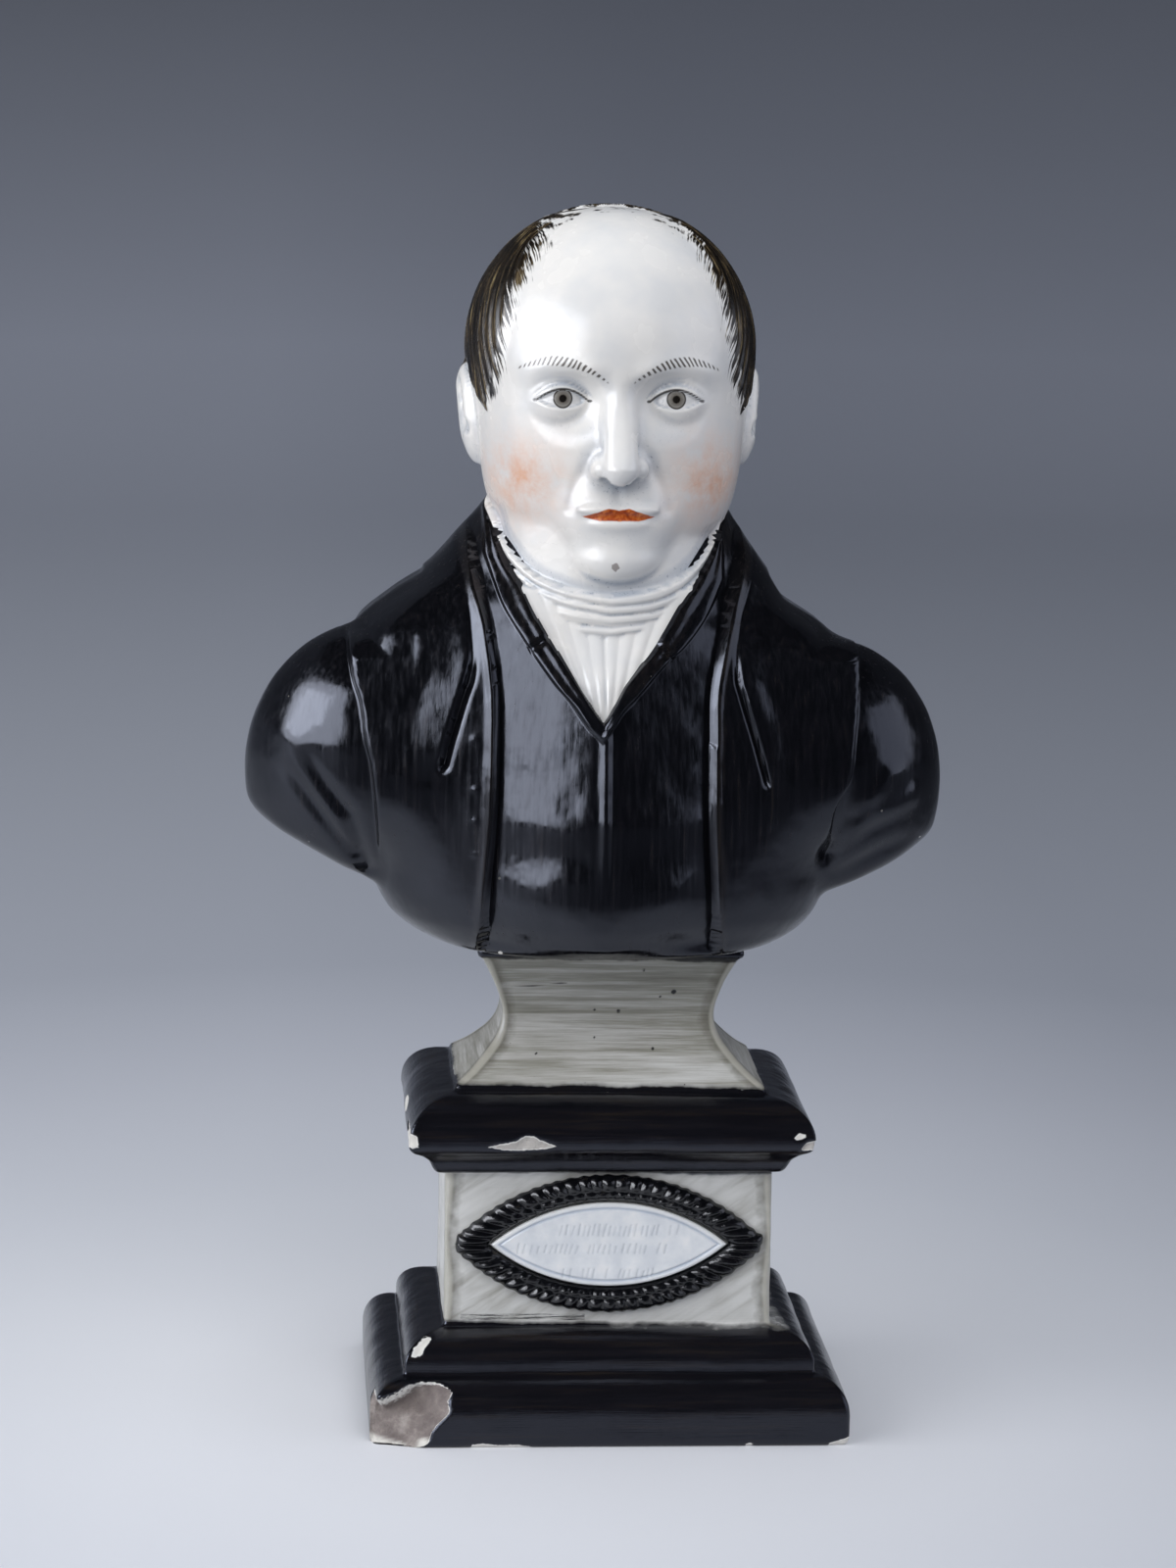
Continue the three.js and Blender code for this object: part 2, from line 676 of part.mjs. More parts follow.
function bustGeometry() {
  const rowStep = curveThrough(rowSteps);
  const raySpread = curveThrough(raySpreads);
  const headTurns = evenTurns();
  const rings = [];
  let height = bustBottom;
  while (height < skullHeight - 1) {
    const upHead = ramp(205, 235, height);
    const centreX = bodyCentre + (headX - bodyCentre) * upHead;
    const spread = raySpread(height);
    const share = ramp(226, 240, height);
    const turns = dressTurns(height, spread).map((turn, i) => turn + (headTurns[i] - turn) * share);
    rings.push(bustRing(height, 0, spread, turns, centreX, skullY * upHead));
    height += rowStep(height);
  }
  for (let i = 0; i < crownRows; i += 1) {
    const rise = ((Math.PI / 2) * i) / crownRows;
    rings.push(bustRing(skullHeight, rise, 0, headTurns, headX, skullY));
  }
  return skinRings(rings, false);
}

// Colours and materials

function glazed(colour, roughness) {
  return new THREE.MeshStandardMaterial({ color: colour, roughness, metalness: 0 });
}

const blackEnamel = glazed(0x0b0c10, 0.12);
const greyWash = glazed(0xaeada2, 0.35);
const tabletGlaze = glazed(0xd5dadf, 0.2);
const borderEnamel = glazed(0x0c0d12, 0.14);

// Assembly

const staffordshireBust = new THREE.Group();

function addPiece(name, geometry, material, height, front) {
  const piece = new THREE.Mesh(geometry, material);
  piece.name = name;
  piece.position.set(0, front, height);
  staffordshireBust.add(piece);
}

const blockFront = -(dieHalfDepth + seamGap);
addPiece('bust', bustGeometry(), blackEnamel, 0, 0);
addPiece('pedestal', pedestalGeometry(), greyWash, 0, 0);
addPiece('plaque', tabletGeometry(), tabletGlaze, tabletHeight, blockFront);
addPiece('plaque_border', borderGeometry(), borderEnamel, tabletHeight, blockFront);

export default staffordshireBust;
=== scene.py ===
# A glazed earthenware portrait bust, painted in black enamel, grey wash and flesh tints, on a
# moulded pedestal with a pointed-oval tablet. Sizes are in millimetres until a mesh is made.
# +Z is up, the figure faces -Y, and +X is to the right of someone looking at it.
import math

import bpy
import numpy as np
from mathutils import Matrix, Vector


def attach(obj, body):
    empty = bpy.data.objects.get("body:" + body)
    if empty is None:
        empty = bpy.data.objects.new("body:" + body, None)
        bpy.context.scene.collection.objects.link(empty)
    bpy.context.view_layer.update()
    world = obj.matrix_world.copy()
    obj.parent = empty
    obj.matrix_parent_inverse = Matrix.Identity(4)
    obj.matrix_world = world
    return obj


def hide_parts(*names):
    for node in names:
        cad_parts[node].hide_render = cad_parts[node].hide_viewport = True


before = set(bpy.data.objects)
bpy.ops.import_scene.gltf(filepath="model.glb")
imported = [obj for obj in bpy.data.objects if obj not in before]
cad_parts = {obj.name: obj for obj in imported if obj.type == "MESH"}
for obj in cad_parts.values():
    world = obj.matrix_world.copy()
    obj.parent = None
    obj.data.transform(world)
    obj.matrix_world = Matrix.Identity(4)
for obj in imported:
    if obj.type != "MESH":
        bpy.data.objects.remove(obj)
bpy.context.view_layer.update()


# Pedestal
# One hollow press-moulded piece of earthenware: stepped base, plain block, cornice and waisted
# socle. Its mouldings run round a rectangle and meet in mitres. The block and the socle are
# brushed with grey wash, the rest with black enamel, and one corner of the base is broken off.

block_half_width = 43.3
block_half_depth = 26.4
slab_reach = 19.8
slab_top = 7.6
step_reach = 10.8
step_bottom = 17.0
step_shoulder = 19.5
block_bottom = 27.3
block_top = 69.4
cornice_reach = 10.0
cornice_edge = 79.8
socle_bottom = 90.1
socle_foot = -2.2
pedestal_top = 127.6
neck_slab_reach = -8.2
scar_centre = np.array([-76.6, -88.8, 32.4])
scar_radius = 60.0
lead_glaze_ior = 1.54


def ramp(low, high, value):
    """0 below low and 1 above high, with a smooth slope between them."""
    t = np.clip((value - low) / (high - low), 0, 1)
    return t * t * (3 - 2 * t)


def bump(distance, width):
    """A rounded ridge of height 1 along distance 0."""
    return np.exp(-((distance / width) ** 2))


def unevenness(points, size, seed):
    """Smooth lumps about as wide as size, from -1 to 1, as hands leave them in clay."""
    waves = np.random.default_rng(seed)
    total = np.zeros(len(points))
    for _ in range(14):
        direction = waves.normal(size=3)
        direction *= 2 * np.pi / (np.linalg.norm(direction) * size * waves.uniform(1.3, 2.6))
        total += np.sin(points @ direction + waves.uniform(0, 2 * np.pi))
    return total / 4.2


def line_distance(x, z, places):
    """Distance in the front view to a line through [x, z] places."""
    nearest = np.full(len(x), 1e9)
    for (ax, az), (bx, bz) in zip(places, places[1:]):
        length = (bx - ax) ** 2 + (bz - az) ** 2
        t = np.clip(((x - ax) * (bx - ax) + (z - az) * (bz - az)) / length, 0, 1)
        nearest = np.minimum(nearest, np.hypot(x - ax - t * (bx - ax), z - az - t * (bz - az)))
    return nearest


def depth_inside(x, z, outline):
    """Distance to a closed outline in the front view, above 0 inside it."""
    inside = np.zeros(len(x), bool)
    for (ax, az), (bx, bz) in zip(outline, outline[1:] + outline[:1]):
        if az != bz:
            inside ^= ((az > z) != (bz > z)) & (x < (bx - ax) * (z - az) / (bz - az) + ax)
    distance = line_distance(x, z, outline + outline[:1])
    return np.where(inside, distance, -distance)


def tube_faces(rings, columns, closed=False):
    """Faces between rings of points that turn the same way, and a fan over each open end."""
    bands = rings if closed else rings - 1
    row, column = np.meshgrid(np.arange(bands), np.arange(columns), indexing="ij")
    after, above = (column + 1) % columns, (row + 1) % rings
    low_row, high_row = row * columns, above * columns
    corners = [low_row + column, low_row + after, high_row + after, high_row + column]
    faces = np.stack(corners, axis=-1).reshape(-1, 4).tolist()
    if not closed:
        low, high, last = rings * columns, rings * columns + 1, (rings - 1) * columns
        for c in range(columns):
            n = (c + 1) % columns
            faces += [(low, n, c), (high, last + c, last + n)]
    return faces


add_to_scene = bpy.context.scene.collection.objects.link


def add_piece(name, points, faces, facts, material, nodes):
    """Makes a smooth mesh from millimetres. Its material reads the facts kept at its points: each
    has the values of the first points, and the value of all the others."""
    mesh = bpy.data.meshes.new(name)
    mesh.from_pydata((points / 1000).tolist(), [], faces)
    mesh.shade_smooth()
    for fact_name, (values, value_of_others) in facts.items():
        at_points = np.full(len(points), value_of_others, np.float32)
        at_points[:values.size] = values.ravel()
        mesh.attributes.new(fact_name, "FLOAT", "POINT").data.foreach_set("value", at_points)
    mesh.materials.append(material)
    piece = bpy.data.objects.new(name, mesh)
    add_to_scene(piece)
    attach(piece, "root")
    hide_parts(*nodes)


def with_drawn_in_ends(rings):
    """Adds a slightly smaller ring at each end, so that an end stays flat up to its edge."""
    shrink = 0.97
    smaller = [ring.mean(0) + shrink * (ring - ring.mean(0)) for ring in (rings[0], rings[-1])]
    return np.concatenate([smaller[:1], rings, smaller[1:]])


def with_ends(rings):
    """Adds the middle of the first and of the last ring to the points of all rings."""
    return np.vstack([rings.reshape(-1, 3), rings[0].mean(0), rings[-1].mean(0)])


def quarter_round(centre_reach, centre_height, reach, height):
    """A quarter of an ellipse from its reach to its top."""
    angle = np.linspace(0, np.pi / 2, 16)
    return np.column_stack([centre_reach + reach * np.cos(angle), centre_height + height * np.sin(angle)])


def soft_curve(places, steps):
    """A Catmull-Rom curve through [reach, height] places."""
    padded = np.array([places[0], *places, places[-1]], float)
    curve = []
    for i in range(len(places) - 1):
        a, b, c, d = padded[i:i + 4]
        for t in np.linspace(0, 1, steps, endpoint=False):
            curve.append(0.5 * (2 * b + (c - a) * t + (2 * a - 5 * b + 4 * c - d) * t**2
                                + (3 * b - a - 3 * c + d) * t**3))
    return np.array(curve + [padded[-1]])


moulding = np.vstack([
    [[slab_reach - 3.0, 0], [slab_reach - 0.6, 0], [slab_reach, 0.6]],
    quarter_round(step_reach, slab_top, slab_reach - step_reach, step_bottom - slab_top),
    quarter_round(0.6, step_shoulder, step_reach - 0.6, block_bottom - step_shoulder),
    [[0, block_bottom + 0.2], [0, block_top], [2.6, block_top + 0.3], [3.4, 71.0], [4.4, 73.4]],
    [[6.4, 75.2], [9.0, 76.6], [cornice_reach, 78.2]],
    quarter_round(socle_foot, cornice_edge, cornice_reach - socle_foot, socle_bottom - cornice_edge),
    soft_curve([(socle_foot - 0.3, socle_bottom + 1.6), (-7.8, 95.8), (-13.6, 102.4), (-15.3, 109.0),
                (-13.2, 116.6), (-9.6, 124.4)], 12),
    [[neck_slab_reach, 125.2], [neck_slab_reach, pedestal_top], [neck_slab_reach - 3.0, pedestal_top]],
])
run = np.concatenate([[0], np.cumsum(np.hypot(*np.diff(moulding, axis=0).T))])
fine_step, wear_rounds = 0.2, 14  # together they round the arrises by about half a millimetre
stations = np.linspace(0, run[-1], int(run[-1] / fine_step))
fine = np.column_stack([np.interp(stations, run, axis) for axis in moulding.T])
worn = fine.copy()
for _ in range(wear_rounds):
    worn[1:-1] = 0.25 * worn[:-2] + 0.5 * worn[1:-1] + 0.25 * worn[2:]
moulding = worn[::4]
moulding[-1] = fine[-1]

# One quarter of a ring is a corner and the side after it, whose points lie closer at its ends.
front_points, side_points, corner_points = 120, 84, 5
rings = []
edge_distance = []
for reach, height in moulding:
    radius = 1.1 + 0.5 * math.sin(height * 0.21)
    half_width, half_depth = block_half_width + reach, block_half_depth + reach
    ring, distances = [], []
    for side_x, side_y, start, count, along in (
            (1, -1, -90, side_points, (0, 1)), (1, 1, 0, front_points, (-1, 0)),
            (-1, 1, 90, side_points, (0, -1)), (-1, -1, 180, front_points, (1, 0))):
        centre = np.array([side_x * (half_width - radius), side_y * (half_depth - radius)])
        angle = np.radians(start + np.linspace(0, 90, corner_points))
        corner = centre + radius * np.column_stack([np.cos(angle), np.sin(angle)])
        long_side = 2 * ((half_depth if count == side_points else half_width) - radius)
        t = np.linspace(-1, 1, count + 2)[1:-1]
        share = 0.5 + 0.5 * (0.6 * t + 0.4 * np.sin(t * np.pi / 2))
        ring += corner.tolist() + (corner[-1] + np.outer(share * long_side, along)).tolist()
        distances += [0.0] * corner_points + (np.minimum(share, 1 - share) * long_side).tolist()
    rings.append(np.column_stack([ring, np.full(len(ring), height)]))
    edge_distance.append(distances)
rings = np.array(rings)
edge_distance = np.array(edge_distance)

flat = rings.reshape(-1, 3)
middle_half_width, middle_half_depth = block_half_width + 10, block_half_depth + 10
outward = flat / [middle_half_width, middle_half_depth, np.inf]
outward /= np.linalg.norm(outward, axis=1)[:, None] + 1e-9
settle = ramp(0, 6, flat[:, 2]) * ramp(pedestal_top, pedestal_top - 2, flat[:, 2])
hand = 0.3 * unevenness(flat, 34, 3) + 0.07 * unevenness(flat, 7, 4)
flat = flat + outward * (hand * settle)[:, None]
socle_lean = -0.010 * flat[:, 0] * bump(flat[:, 2] - 91, 7)
flat[:, 2] += 0.22 * unevenness(flat, 40, 5) * settle + socle_lean

# Places where the glaze has flaked or the clay has broken, as outlines in the front view, with
# how deep each goes and how much of the brown-grey body shows under the white.
chips = [
    ([(-70, 0.6), (-68, 8), (-62, 12.5), (-59.8, 13.3), (-56.7, 14.3), (-53.2, 15.9), (-50.2, 16.3),
      (-45.8, 16.2), (-43.7, 15.8), (-41.5, 15.2), (-41.1, 14.4), (-42.6, 13.1), (-43.3, 12.2),
      (-42.6, 11.0), (-42.2, 9.9), (-43.3, 8.6), (-45.0, 7.1), (-46.7, 5.3), (-47.6, 3.3), (-47.9, 1.0),
      (-52, -1), (-70, -1)], 9.0, 1.0),
    ([(-52.3, 21.7), (-51.6, 23.8), (-50.0, 25.0), (-48.7, 26.1), (-46.9, 25.9), (-47.4, 24.8),
      (-49.0, 23.6), (-49.5, 22.0)], 0.7, 0.0),
    ([(-32.8, 78.5), (-29.3, 79.4), (-25.4, 80.1), (-23.4, 81.4), (-20.7, 81.4), (-19.1, 80.3),
      (-16.7, 79.4), (-14.3, 78.4), (-19.0, 77.8), (-25.2, 77.4), (-29.2, 77.8)], 0.8, 0.45),
    ([(-55, 81.9), (-52.7, 82.0), (-51.4, 81.5), (-50.7, 78.6), (-52.5, 78.2), (-55, 79.2)], 0.9, 0.05),
    ([(47.4, 81.0), (48.9, 82.2), (50.8, 81.6), (50.2, 80.6), (48.1, 80.4)], 0.6, 0.0),
    ([(50.9, 79.6), (54, 80.4), (54, 77.6), (50.2, 77.3), (49.4, 78.0)], 0.9, 0.35),
    ([(-36.5, 0.9), (-33, 1.2), (-29, 0.7), (-24.5, 0.9), (-21, 0.2), (-21, -1), (-37, -1)], 0.3, 0.1),
    ([(35.4, 0.9), (37.4, 1.0), (37.0, -1), (35.6, -1)], 0.3, 0.1),
    ([(57.4, 0.8), (60, 1.5), (66, 3.4), (66, -1), (57.4, -1)], 0.5, 0.2),
]
bare = np.full(len(flat), -20.0)
body_clay = np.zeros(len(flat))
front_side = flat[:, 1] < -20
big_break = 1.0
for outline, depth, clay in chips:
    first_x, first_z = outline[0]
    near_x, near_z = np.abs(flat[:, 0] - first_x) < 35, np.abs(flat[:, 2] - first_z) < 22
    at = np.nonzero(front_side & near_x & near_z)[0]
    inside = depth_inside(flat[at, 0], flat[at, 2], outline)
    if clay == big_break:
        to_scar = flat[at] - scar_centre
        away = np.linalg.norm(to_scar, axis=1)
        rough = 0.35 * unevenness(flat[at], 5, 8) + 0.18 * unevenness(flat[at], 1.8, 9)
        cut = scar_radius + rough - away
        inside = np.minimum(inside, 9 * (scar_radius + 0.10 - away))
        push = np.maximum(cut, 0) * ramp(-0.1, 0.5, inside)
        flat[at] += to_scar / away[:, None] * push[:, None]
    else:
        push = depth * ramp(-0.1, 0.7, inside) * (0.8 + 0.4 * unevenness(flat[at], 3, 10))
        flat[at] -= outward[at] * push[:, None]
    deeper = inside > bare[at]
    body_clay[at] = np.where(deeper, clay, body_clay[at])
    bare[at] = np.maximum(bare[at], inside)
flat[:, 2] = np.maximum(flat[:, 2], 0)
body_clay *= ramp(0.3, 1.7, flat[:, 2] + 0.9 * unevenness(flat, 3, 12))
ring_chip = np.linalg.norm((flat - [-53.2, -4.0, 82.2]) / [3, 5.4, 1.9], axis=1)
bare = np.maximum(bare, 2.2 * (1 - ring_chip))
crack = line_distance(flat[:, 0], flat[:, 2], [(-26.2, 116.0), (-19.9, 116.4), (-11.2, 117.4)])
crack = np.where(flat[:, 1] < 0, crack, 20)
pits = [(8.9, 121.2, 0.5), (17.2, 114.7, 0.75), (-3.7, 109.6, 0.45), (2.7, 109.1, 0.6),
        (13.7, 113.3, 0.4), (-3.7, 102.3, 0.4), (11.7, 99.8, 0.45), (-19.3, 98.7, 0.4),
        (-6.9, 92.6, 0.35)]
pit = np.full(len(flat), 20.0)
for x, z, radius in pits:
    past_rim = np.hypot(flat[:, 0] - x, flat[:, 2] - z) - radius
    pit = np.where(flat[:, 1] < 0, np.minimum(pit, past_rim), pit)
pedestal_points = np.vstack([flat, [[0, 0, 0], [0, 0, pedestal_top]]])
pedestal_facts = {"arris": (edge_distance, 20), "bare": (bare, -20), "body_clay": (body_clay, 0),
                  "crack": (crack, 20), "pit": (pit, 20)}


def linear(colour):
    """A hex colour as the eye sees it, turned into the light that it stands for."""
    parts = [int(colour[i:i + 2], 16) / 255 for i in (1, 3, 5)]
    return (*[p / 12.92 if p <= 0.04045 else ((p + 0.055) / 1.055) ** 2.4 for p in parts], 1.0)


def start_material(name):
    """A material with no nodes yet, and the tree that add_node works in."""
    material = bpy.data.materials.new(name)
    material.use_nodes = True
    material.node_tree.nodes.clear()
    return material, material.node_tree


def add_node(kind, values=(), output=None, stops=(), **settings):
    """Adds a node to the tree with its settings, and gives back its first output or a named one.
    values fills its sockets from the first on, or by name, with a number, a colour or another
    node's output: a MapRange has the value, from low, from high, to low, to high. stops are a
    colour ramp's places and colours."""
    node = tree.nodes.new("ShaderNode" + kind)
    for name, value in settings.items():
        setattr(node, name, value)
    sockets = [socket for socket in node.inputs if socket.enabled]
    for key, value in values.items() if isinstance(values, dict) else enumerate(values):
        socket = node.inputs[key] if isinstance(key, str) else sockets[key]
        if isinstance(value, bpy.types.NodeSocket):
            tree.links.new(value, socket)
        else:
            socket.default_value = linear(value) if isinstance(value, str) else value
    for i, (place, colour) in enumerate(stops):
        elements = node.color_ramp.elements
        if i == 0:
            elements.remove(elements[-1])
        element = elements.new(place) if i else elements[0]
        element.position, element.color = place, linear(colour)
    in_use = [socket for socket in node.outputs if socket.enabled] or [None]
    return node.outputs[output] if output else in_use[0]


def specks(cells_per_mm, share_without, widest):
    """Stray specks, one at most in each cell: 1 on a speck and 0 elsewhere."""
    cell = add_node("TexVoronoi", [mm, cells_per_mm])
    pick = add_node("SeparateColor", [cell.node.outputs["Color"]])
    size = add_node("MapRange", [pick, share_without, 1.0, 0.0, widest])
    return add_node("Math", [cell, size], operation="LESS_THAN")


# Brushed lead glaze: the brush leaves level streaks a millimetre or two high, so the wash looks
# banded and the black shows brown where it is thin. It is glossy, with soft ripples in its
# reflections. A soft lead glaze has an IOR of about 1.54.
pedestal_glaze, tree = start_material("brushed_lead_glaze")
mm = add_node("VectorMath", [add_node("TexCoord", output="Object"), 1000.0], operation="SCALE")
fact = {name: add_node("Attribute", output="Fac", attribute_name=name) for name in pedestal_facts}
x_mm, y_mm, height_mm = add_node("SeparateXYZ", [mm]).node.outputs
brush_edge = add_node("TexNoise", [mm, 0.11, 4.0, 0.6])
edge_shift = add_node("MapRange", [brush_edge, 0.3, 0.7, -0.4, 0.4])
painted_height = add_node("Math", [height_mm, edge_shift], operation="ADD")
tilted_height = add_node("Math", [x_mm, 0.016, painted_height], operation="MULTIPLY_ADD")
ramp_height = 130.0
band_share = add_node("Math", [tilted_height, ramp_height], operation="DIVIDE")
is_wash = add_node("ValToRGB", [band_share], stops=[(height / ramp_height, colour) for height, colour in (
    (27.7, "#000000"), (28.3, "#ffffff"), (68.6, "#ffffff"), (69.2, "#000000"),
    (91.6, "#000000"), (92.1, "#ffffff"), (124.0, "#ffffff"), (124.5, "#000000"))])
streak_place = add_node("VectorMath", [mm, (0.022, 0.022, 0.62)], operation="MULTIPLY")
streaks = add_node("TexNoise", [streak_place, 1.0, 7.0, 0.62, 2.0, 0.15])
fine_place = add_node("VectorMath", [mm, (0.07, 0.07, 2.6)], operation="MULTIPLY")
fine_streaks = add_node("TexNoise", [fine_place, 1.0, 4.0, 0.7])
cloud = add_node("TexNoise", [mm, 0.035, 3.0])
mixed_streaks = add_node("Mix", [0.35, streaks, fine_streaks], data_type="FLOAT")
slanted = add_node("Mapping", {
    "Vector": mm, "Rotation": (0.0, math.radians(-33), 0.0), "Scale": (22.0, 22.0, 3.2)},
    vector_type="TEXTURE")
slant_strokes = add_node("TexNoise", [slanted, 1.0, 6.0, 0.6, 2.0, 0.4])
block_wash = add_node("Mix", [0.5, slant_strokes, cloud], data_type="FLOAT")
block_light = add_node("Math", [block_wash, 0.12], operation="ADD")
socle_wash = add_node("Mix", [0.15, mixed_streaks, cloud], data_type="FLOAT")
socle_high = add_node("MapRange", [height_mm, 94.0, 116.0, 0.0, -0.07])
socle_darker = add_node("Math", [socle_wash, socle_high], operation="ADD")
on_socle = add_node("Math", [height_mm, 80.0], operation="GREATER_THAN")
clouded = add_node("Mix", [on_socle, block_light, socle_darker], data_type="FLOAT")
wash = add_node("ValToRGB", [clouded], stops=[
    (0.28, "#77756a"), (0.42, "#98978c"), (0.50, "#b2b1aa"), (0.58, "#c8c8c3"), (0.70, "#d8d8d4")])
arris_noise = add_node("TexNoise", [mm, 0.3, 3.0])
arris_wide = add_node("Math", [arris_noise, -4.4, fact["arris"]], operation="MULTIPLY_ADD")
stain_ramp = add_node("MapRange", [arris_wide, -2.2, 1.2, 0.8, 0.0])
stained = add_node("Mix", [stain_ramp, wash, "#5f5b4c"], data_type="RGBA")
thin_ramp = add_node("MapRange", [fact["arris"], 0.15, 0.9, 0.6, 0.0])
arris_lit = add_node("Mix", [thin_ramp, stained, "#c9c7bb"], data_type="RGBA")
enamel = add_node("ValToRGB", [mixed_streaks], stops=[
    (0.36, "#0b0c10"), (0.52, "#131216"), (0.66, "#221d19")])
painted = add_node("Mix", [is_wash, enamel, arris_lit], data_type="RGBA")

# The underglaze smear of black that a brush left along the foot of the block.
smear_up = add_node("Math", [height_mm, 29.6, 0.9], operation="COMPARE")
smear_across = add_node("Math", [x_mm, -22.5, 16.5], operation="COMPARE")
smear_front = add_node("Math", [y_mm, -26.0], operation="LESS_THAN")
smear_place = add_node("VectorMath", [mm, (0.12, 0.1, 3.4)], operation="MULTIPLY")
smear_noise = add_node("TexNoise", [smear_place, 1.0, 5.0, 0.75])
smear_hair = add_node("MapRange", [smear_noise, 0.47, 0.56])
smear = add_node("Math", [smear_up, smear_across], operation="MULTIPLY")
smear = add_node("Math", [smear, smear_front], operation="MULTIPLY")
smear = add_node("Math", [smear, smear_hair], operation="MULTIPLY")

# Pits where the wash crawled, and pale specks in the black.
is_speck = specks(0.2, 0.72, 0.075)
speck_colour = add_node("Mix", [is_wash, "#5c5c5a", "#3b382f"], data_type="RGBA")
is_pit = add_node("MapRange", [fact["pit"], -0.15, 0.12, 1.0, 0.0])
is_crack = add_node("MapRange", [fact["crack"], 0.1, 0.35, 0.85, 0.0])

# Broken places: a rim of white glaze, then the body, brown-grey in the deep break.
ragged = add_node("TexNoise", [mm, 1.1, 3.0])
ragged_depth = add_node("Math", [ragged, 0.7, fact["bare"]], operation="MULTIPLY_ADD")
is_bare = add_node("MapRange", [ragged_depth, 0.27, 0.42])
clay_cloud = add_node("TexNoise", [mm, 0.16, 6.0, 0.65])
clay = add_node("ValToRGB", [clay_cloud], stops=[
    (0.34, "#695f5a"), (0.5, "#7f756f"), (0.66, "#a09891")])
body = add_node("Mix", [fact["body_clay"], "#dedbd3", clay], data_type="RGBA")
rim = add_node("MapRange", [ragged_depth, 0.55, 0.80, 1.0, 0.0])
rimmed = add_node("Mix", [rim, body, "#e6e4de"], data_type="RGBA")

# Each paint lies over the ones before it.
colour = painted
for share, paint in ((smear, "#35342f"), (is_speck, speck_colour), (is_pit, "#23211d"),
                     (is_crack, "#3d3a33"), (is_bare, rimmed)):
    colour = add_node("Mix", [share, colour, paint], data_type="RGBA")

# Gloss: black enamel is the smoothest, the wash is duller, and the broken body is matt.
enamel_dull = add_node("MapRange", [cloud, 0.3, 0.7, 0.12, 0.24])
wash_dull = add_node("MapRange", [streaks, 0.3, 0.7, 0.30, 0.44])
glaze_dull = add_node("Mix", [is_wash, enamel_dull, wash_dull], data_type="FLOAT")
roughness = add_node("Mix", [is_bare, glaze_dull, 0.85], data_type="FLOAT")
ripple = add_node("TexNoise", [mm, 0.16, 1.5])
grain = add_node("TexNoise", [mm, 2.2, 4.0])
ripple_bump = add_node("Bump", {"Strength": 0.35, "Distance": 0.0006, "Height": ripple})
streak_bump = add_node("Bump", {
    "Strength": 0.45, "Distance": 0.00016, "Height": fine_streaks, "Normal": ripple_bump})
clay_bump_height = add_node("Math", [grain, is_bare], operation="MULTIPLY")
clay_bump = add_node("Bump", {
    "Strength": 0.9, "Distance": 0.0004, "Height": clay_bump_height, "Normal": streak_bump})
shader = add_node("BsdfPrincipled", {
    "Base Color": colour, "Roughness": roughness, "IOR": lead_glaze_ior, "Specular Tint": "#dfe7fb",
    "Normal": clay_bump})
add_node("OutputMaterial", [shader])

add_piece("moulded_pedestal", pedestal_points, tube_faces(len(rings), rings.shape[1]),
          pedestal_facts, pedestal_glaze, ["pedestal"])


# Tablet
# A thin pointed oval of white clay, luted to the front of the block with slip. An oval line is
# incised inside its edge, and rows of shallow strokes stand in the place of an inscription.

tablet_height = 49.8
tablet_half_height = 11.7
arc_drop = 37.4
seam = 0.3
tablet_thickness = 1.5
tablet_front = -(block_half_depth + seam + tablet_thickness)
tablet_radius = tablet_half_height + arc_drop - seam
tablet_tip = math.sqrt(tablet_radius**2 - arc_drop**2)

across, up = np.meshgrid(np.linspace(-1, 1, 300), np.linspace(-1, 1, 110), indexing="ij")
face_x = tablet_tip * np.sin(across * np.pi / 2) * 0.4 + tablet_tip * across * 0.6
half_height = np.sqrt(np.maximum(tablet_radius**2 - face_x**2, arc_drop**2)) - arc_drop
face_z = up * half_height
from_edge = tablet_radius - np.hypot(face_x, np.abs(face_z) + arc_drop)
incised = bump(from_edge - 1.55, 0.34)
strokes = np.zeros_like(face_x)
marks = np.random.default_rng(21)
stroke_rows = [(52.2, 55.5, -12.9, 18.0), (47.4, 50.2, -24.2, 15.0), (40.6, 43.4, -12.2, 12.5)]
for low, high, start, end in stroke_rows:
    x = start
    while x < end:
        foot = low - tablet_height + marks.uniform(0, 0.5)
        head = high - tablet_height - marks.uniform(0, 0.9)
        lean = marks.uniform(0.3, 0.75)
        line = line_distance(face_x.ravel(), face_z.ravel(), [(x, foot), (x + lean, head)])
        strokes = np.maximum(strokes, bump(line, 0.26).reshape(face_x.shape) * marks.uniform(0.55, 1.0))
        x += marks.choice([1.25, 1.5, 1.9, 3.4], p=[0.35, 0.35, 0.18, 0.12])
face_points = np.column_stack([face_x.ravel(), face_z.ravel(), np.zeros(face_x.size)])
swell = 0.10 * unevenness(face_points, 12, 31) + 0.03 * unevenness(face_points, 3, 32)
rounding = 0.7 * (1 - np.sqrt(np.clip(1 - (1 - np.clip(from_edge, 0, 0.8) / 0.8) ** 2, 0, 1)))
face_y = tablet_front + rounding + 0.28 * incised + 0.16 * strokes - swell.reshape(face_x.shape)
front_face = np.column_stack([face_x.ravel(), face_y.ravel(), face_z.ravel() + tablet_height])
count_x, count_z = face_x.shape
cells = np.arange(count_x * count_z).reshape(count_x, count_z)
squares = np.stack([cells[:-1, :-1], cells[1:, :-1], cells[1:, 1:], cells[:-1, 1:]], axis=-1)
tablet_faces = squares.reshape(-1, 4).tolist()
rim_walk = cells[:, 0].tolist() + cells[::-1, -1].tolist()
back_rim = front_face[rim_walk].copy()
back_rim[:, 1] = -(block_half_depth + seam)
first = len(front_face)
turns = len(rim_walk)
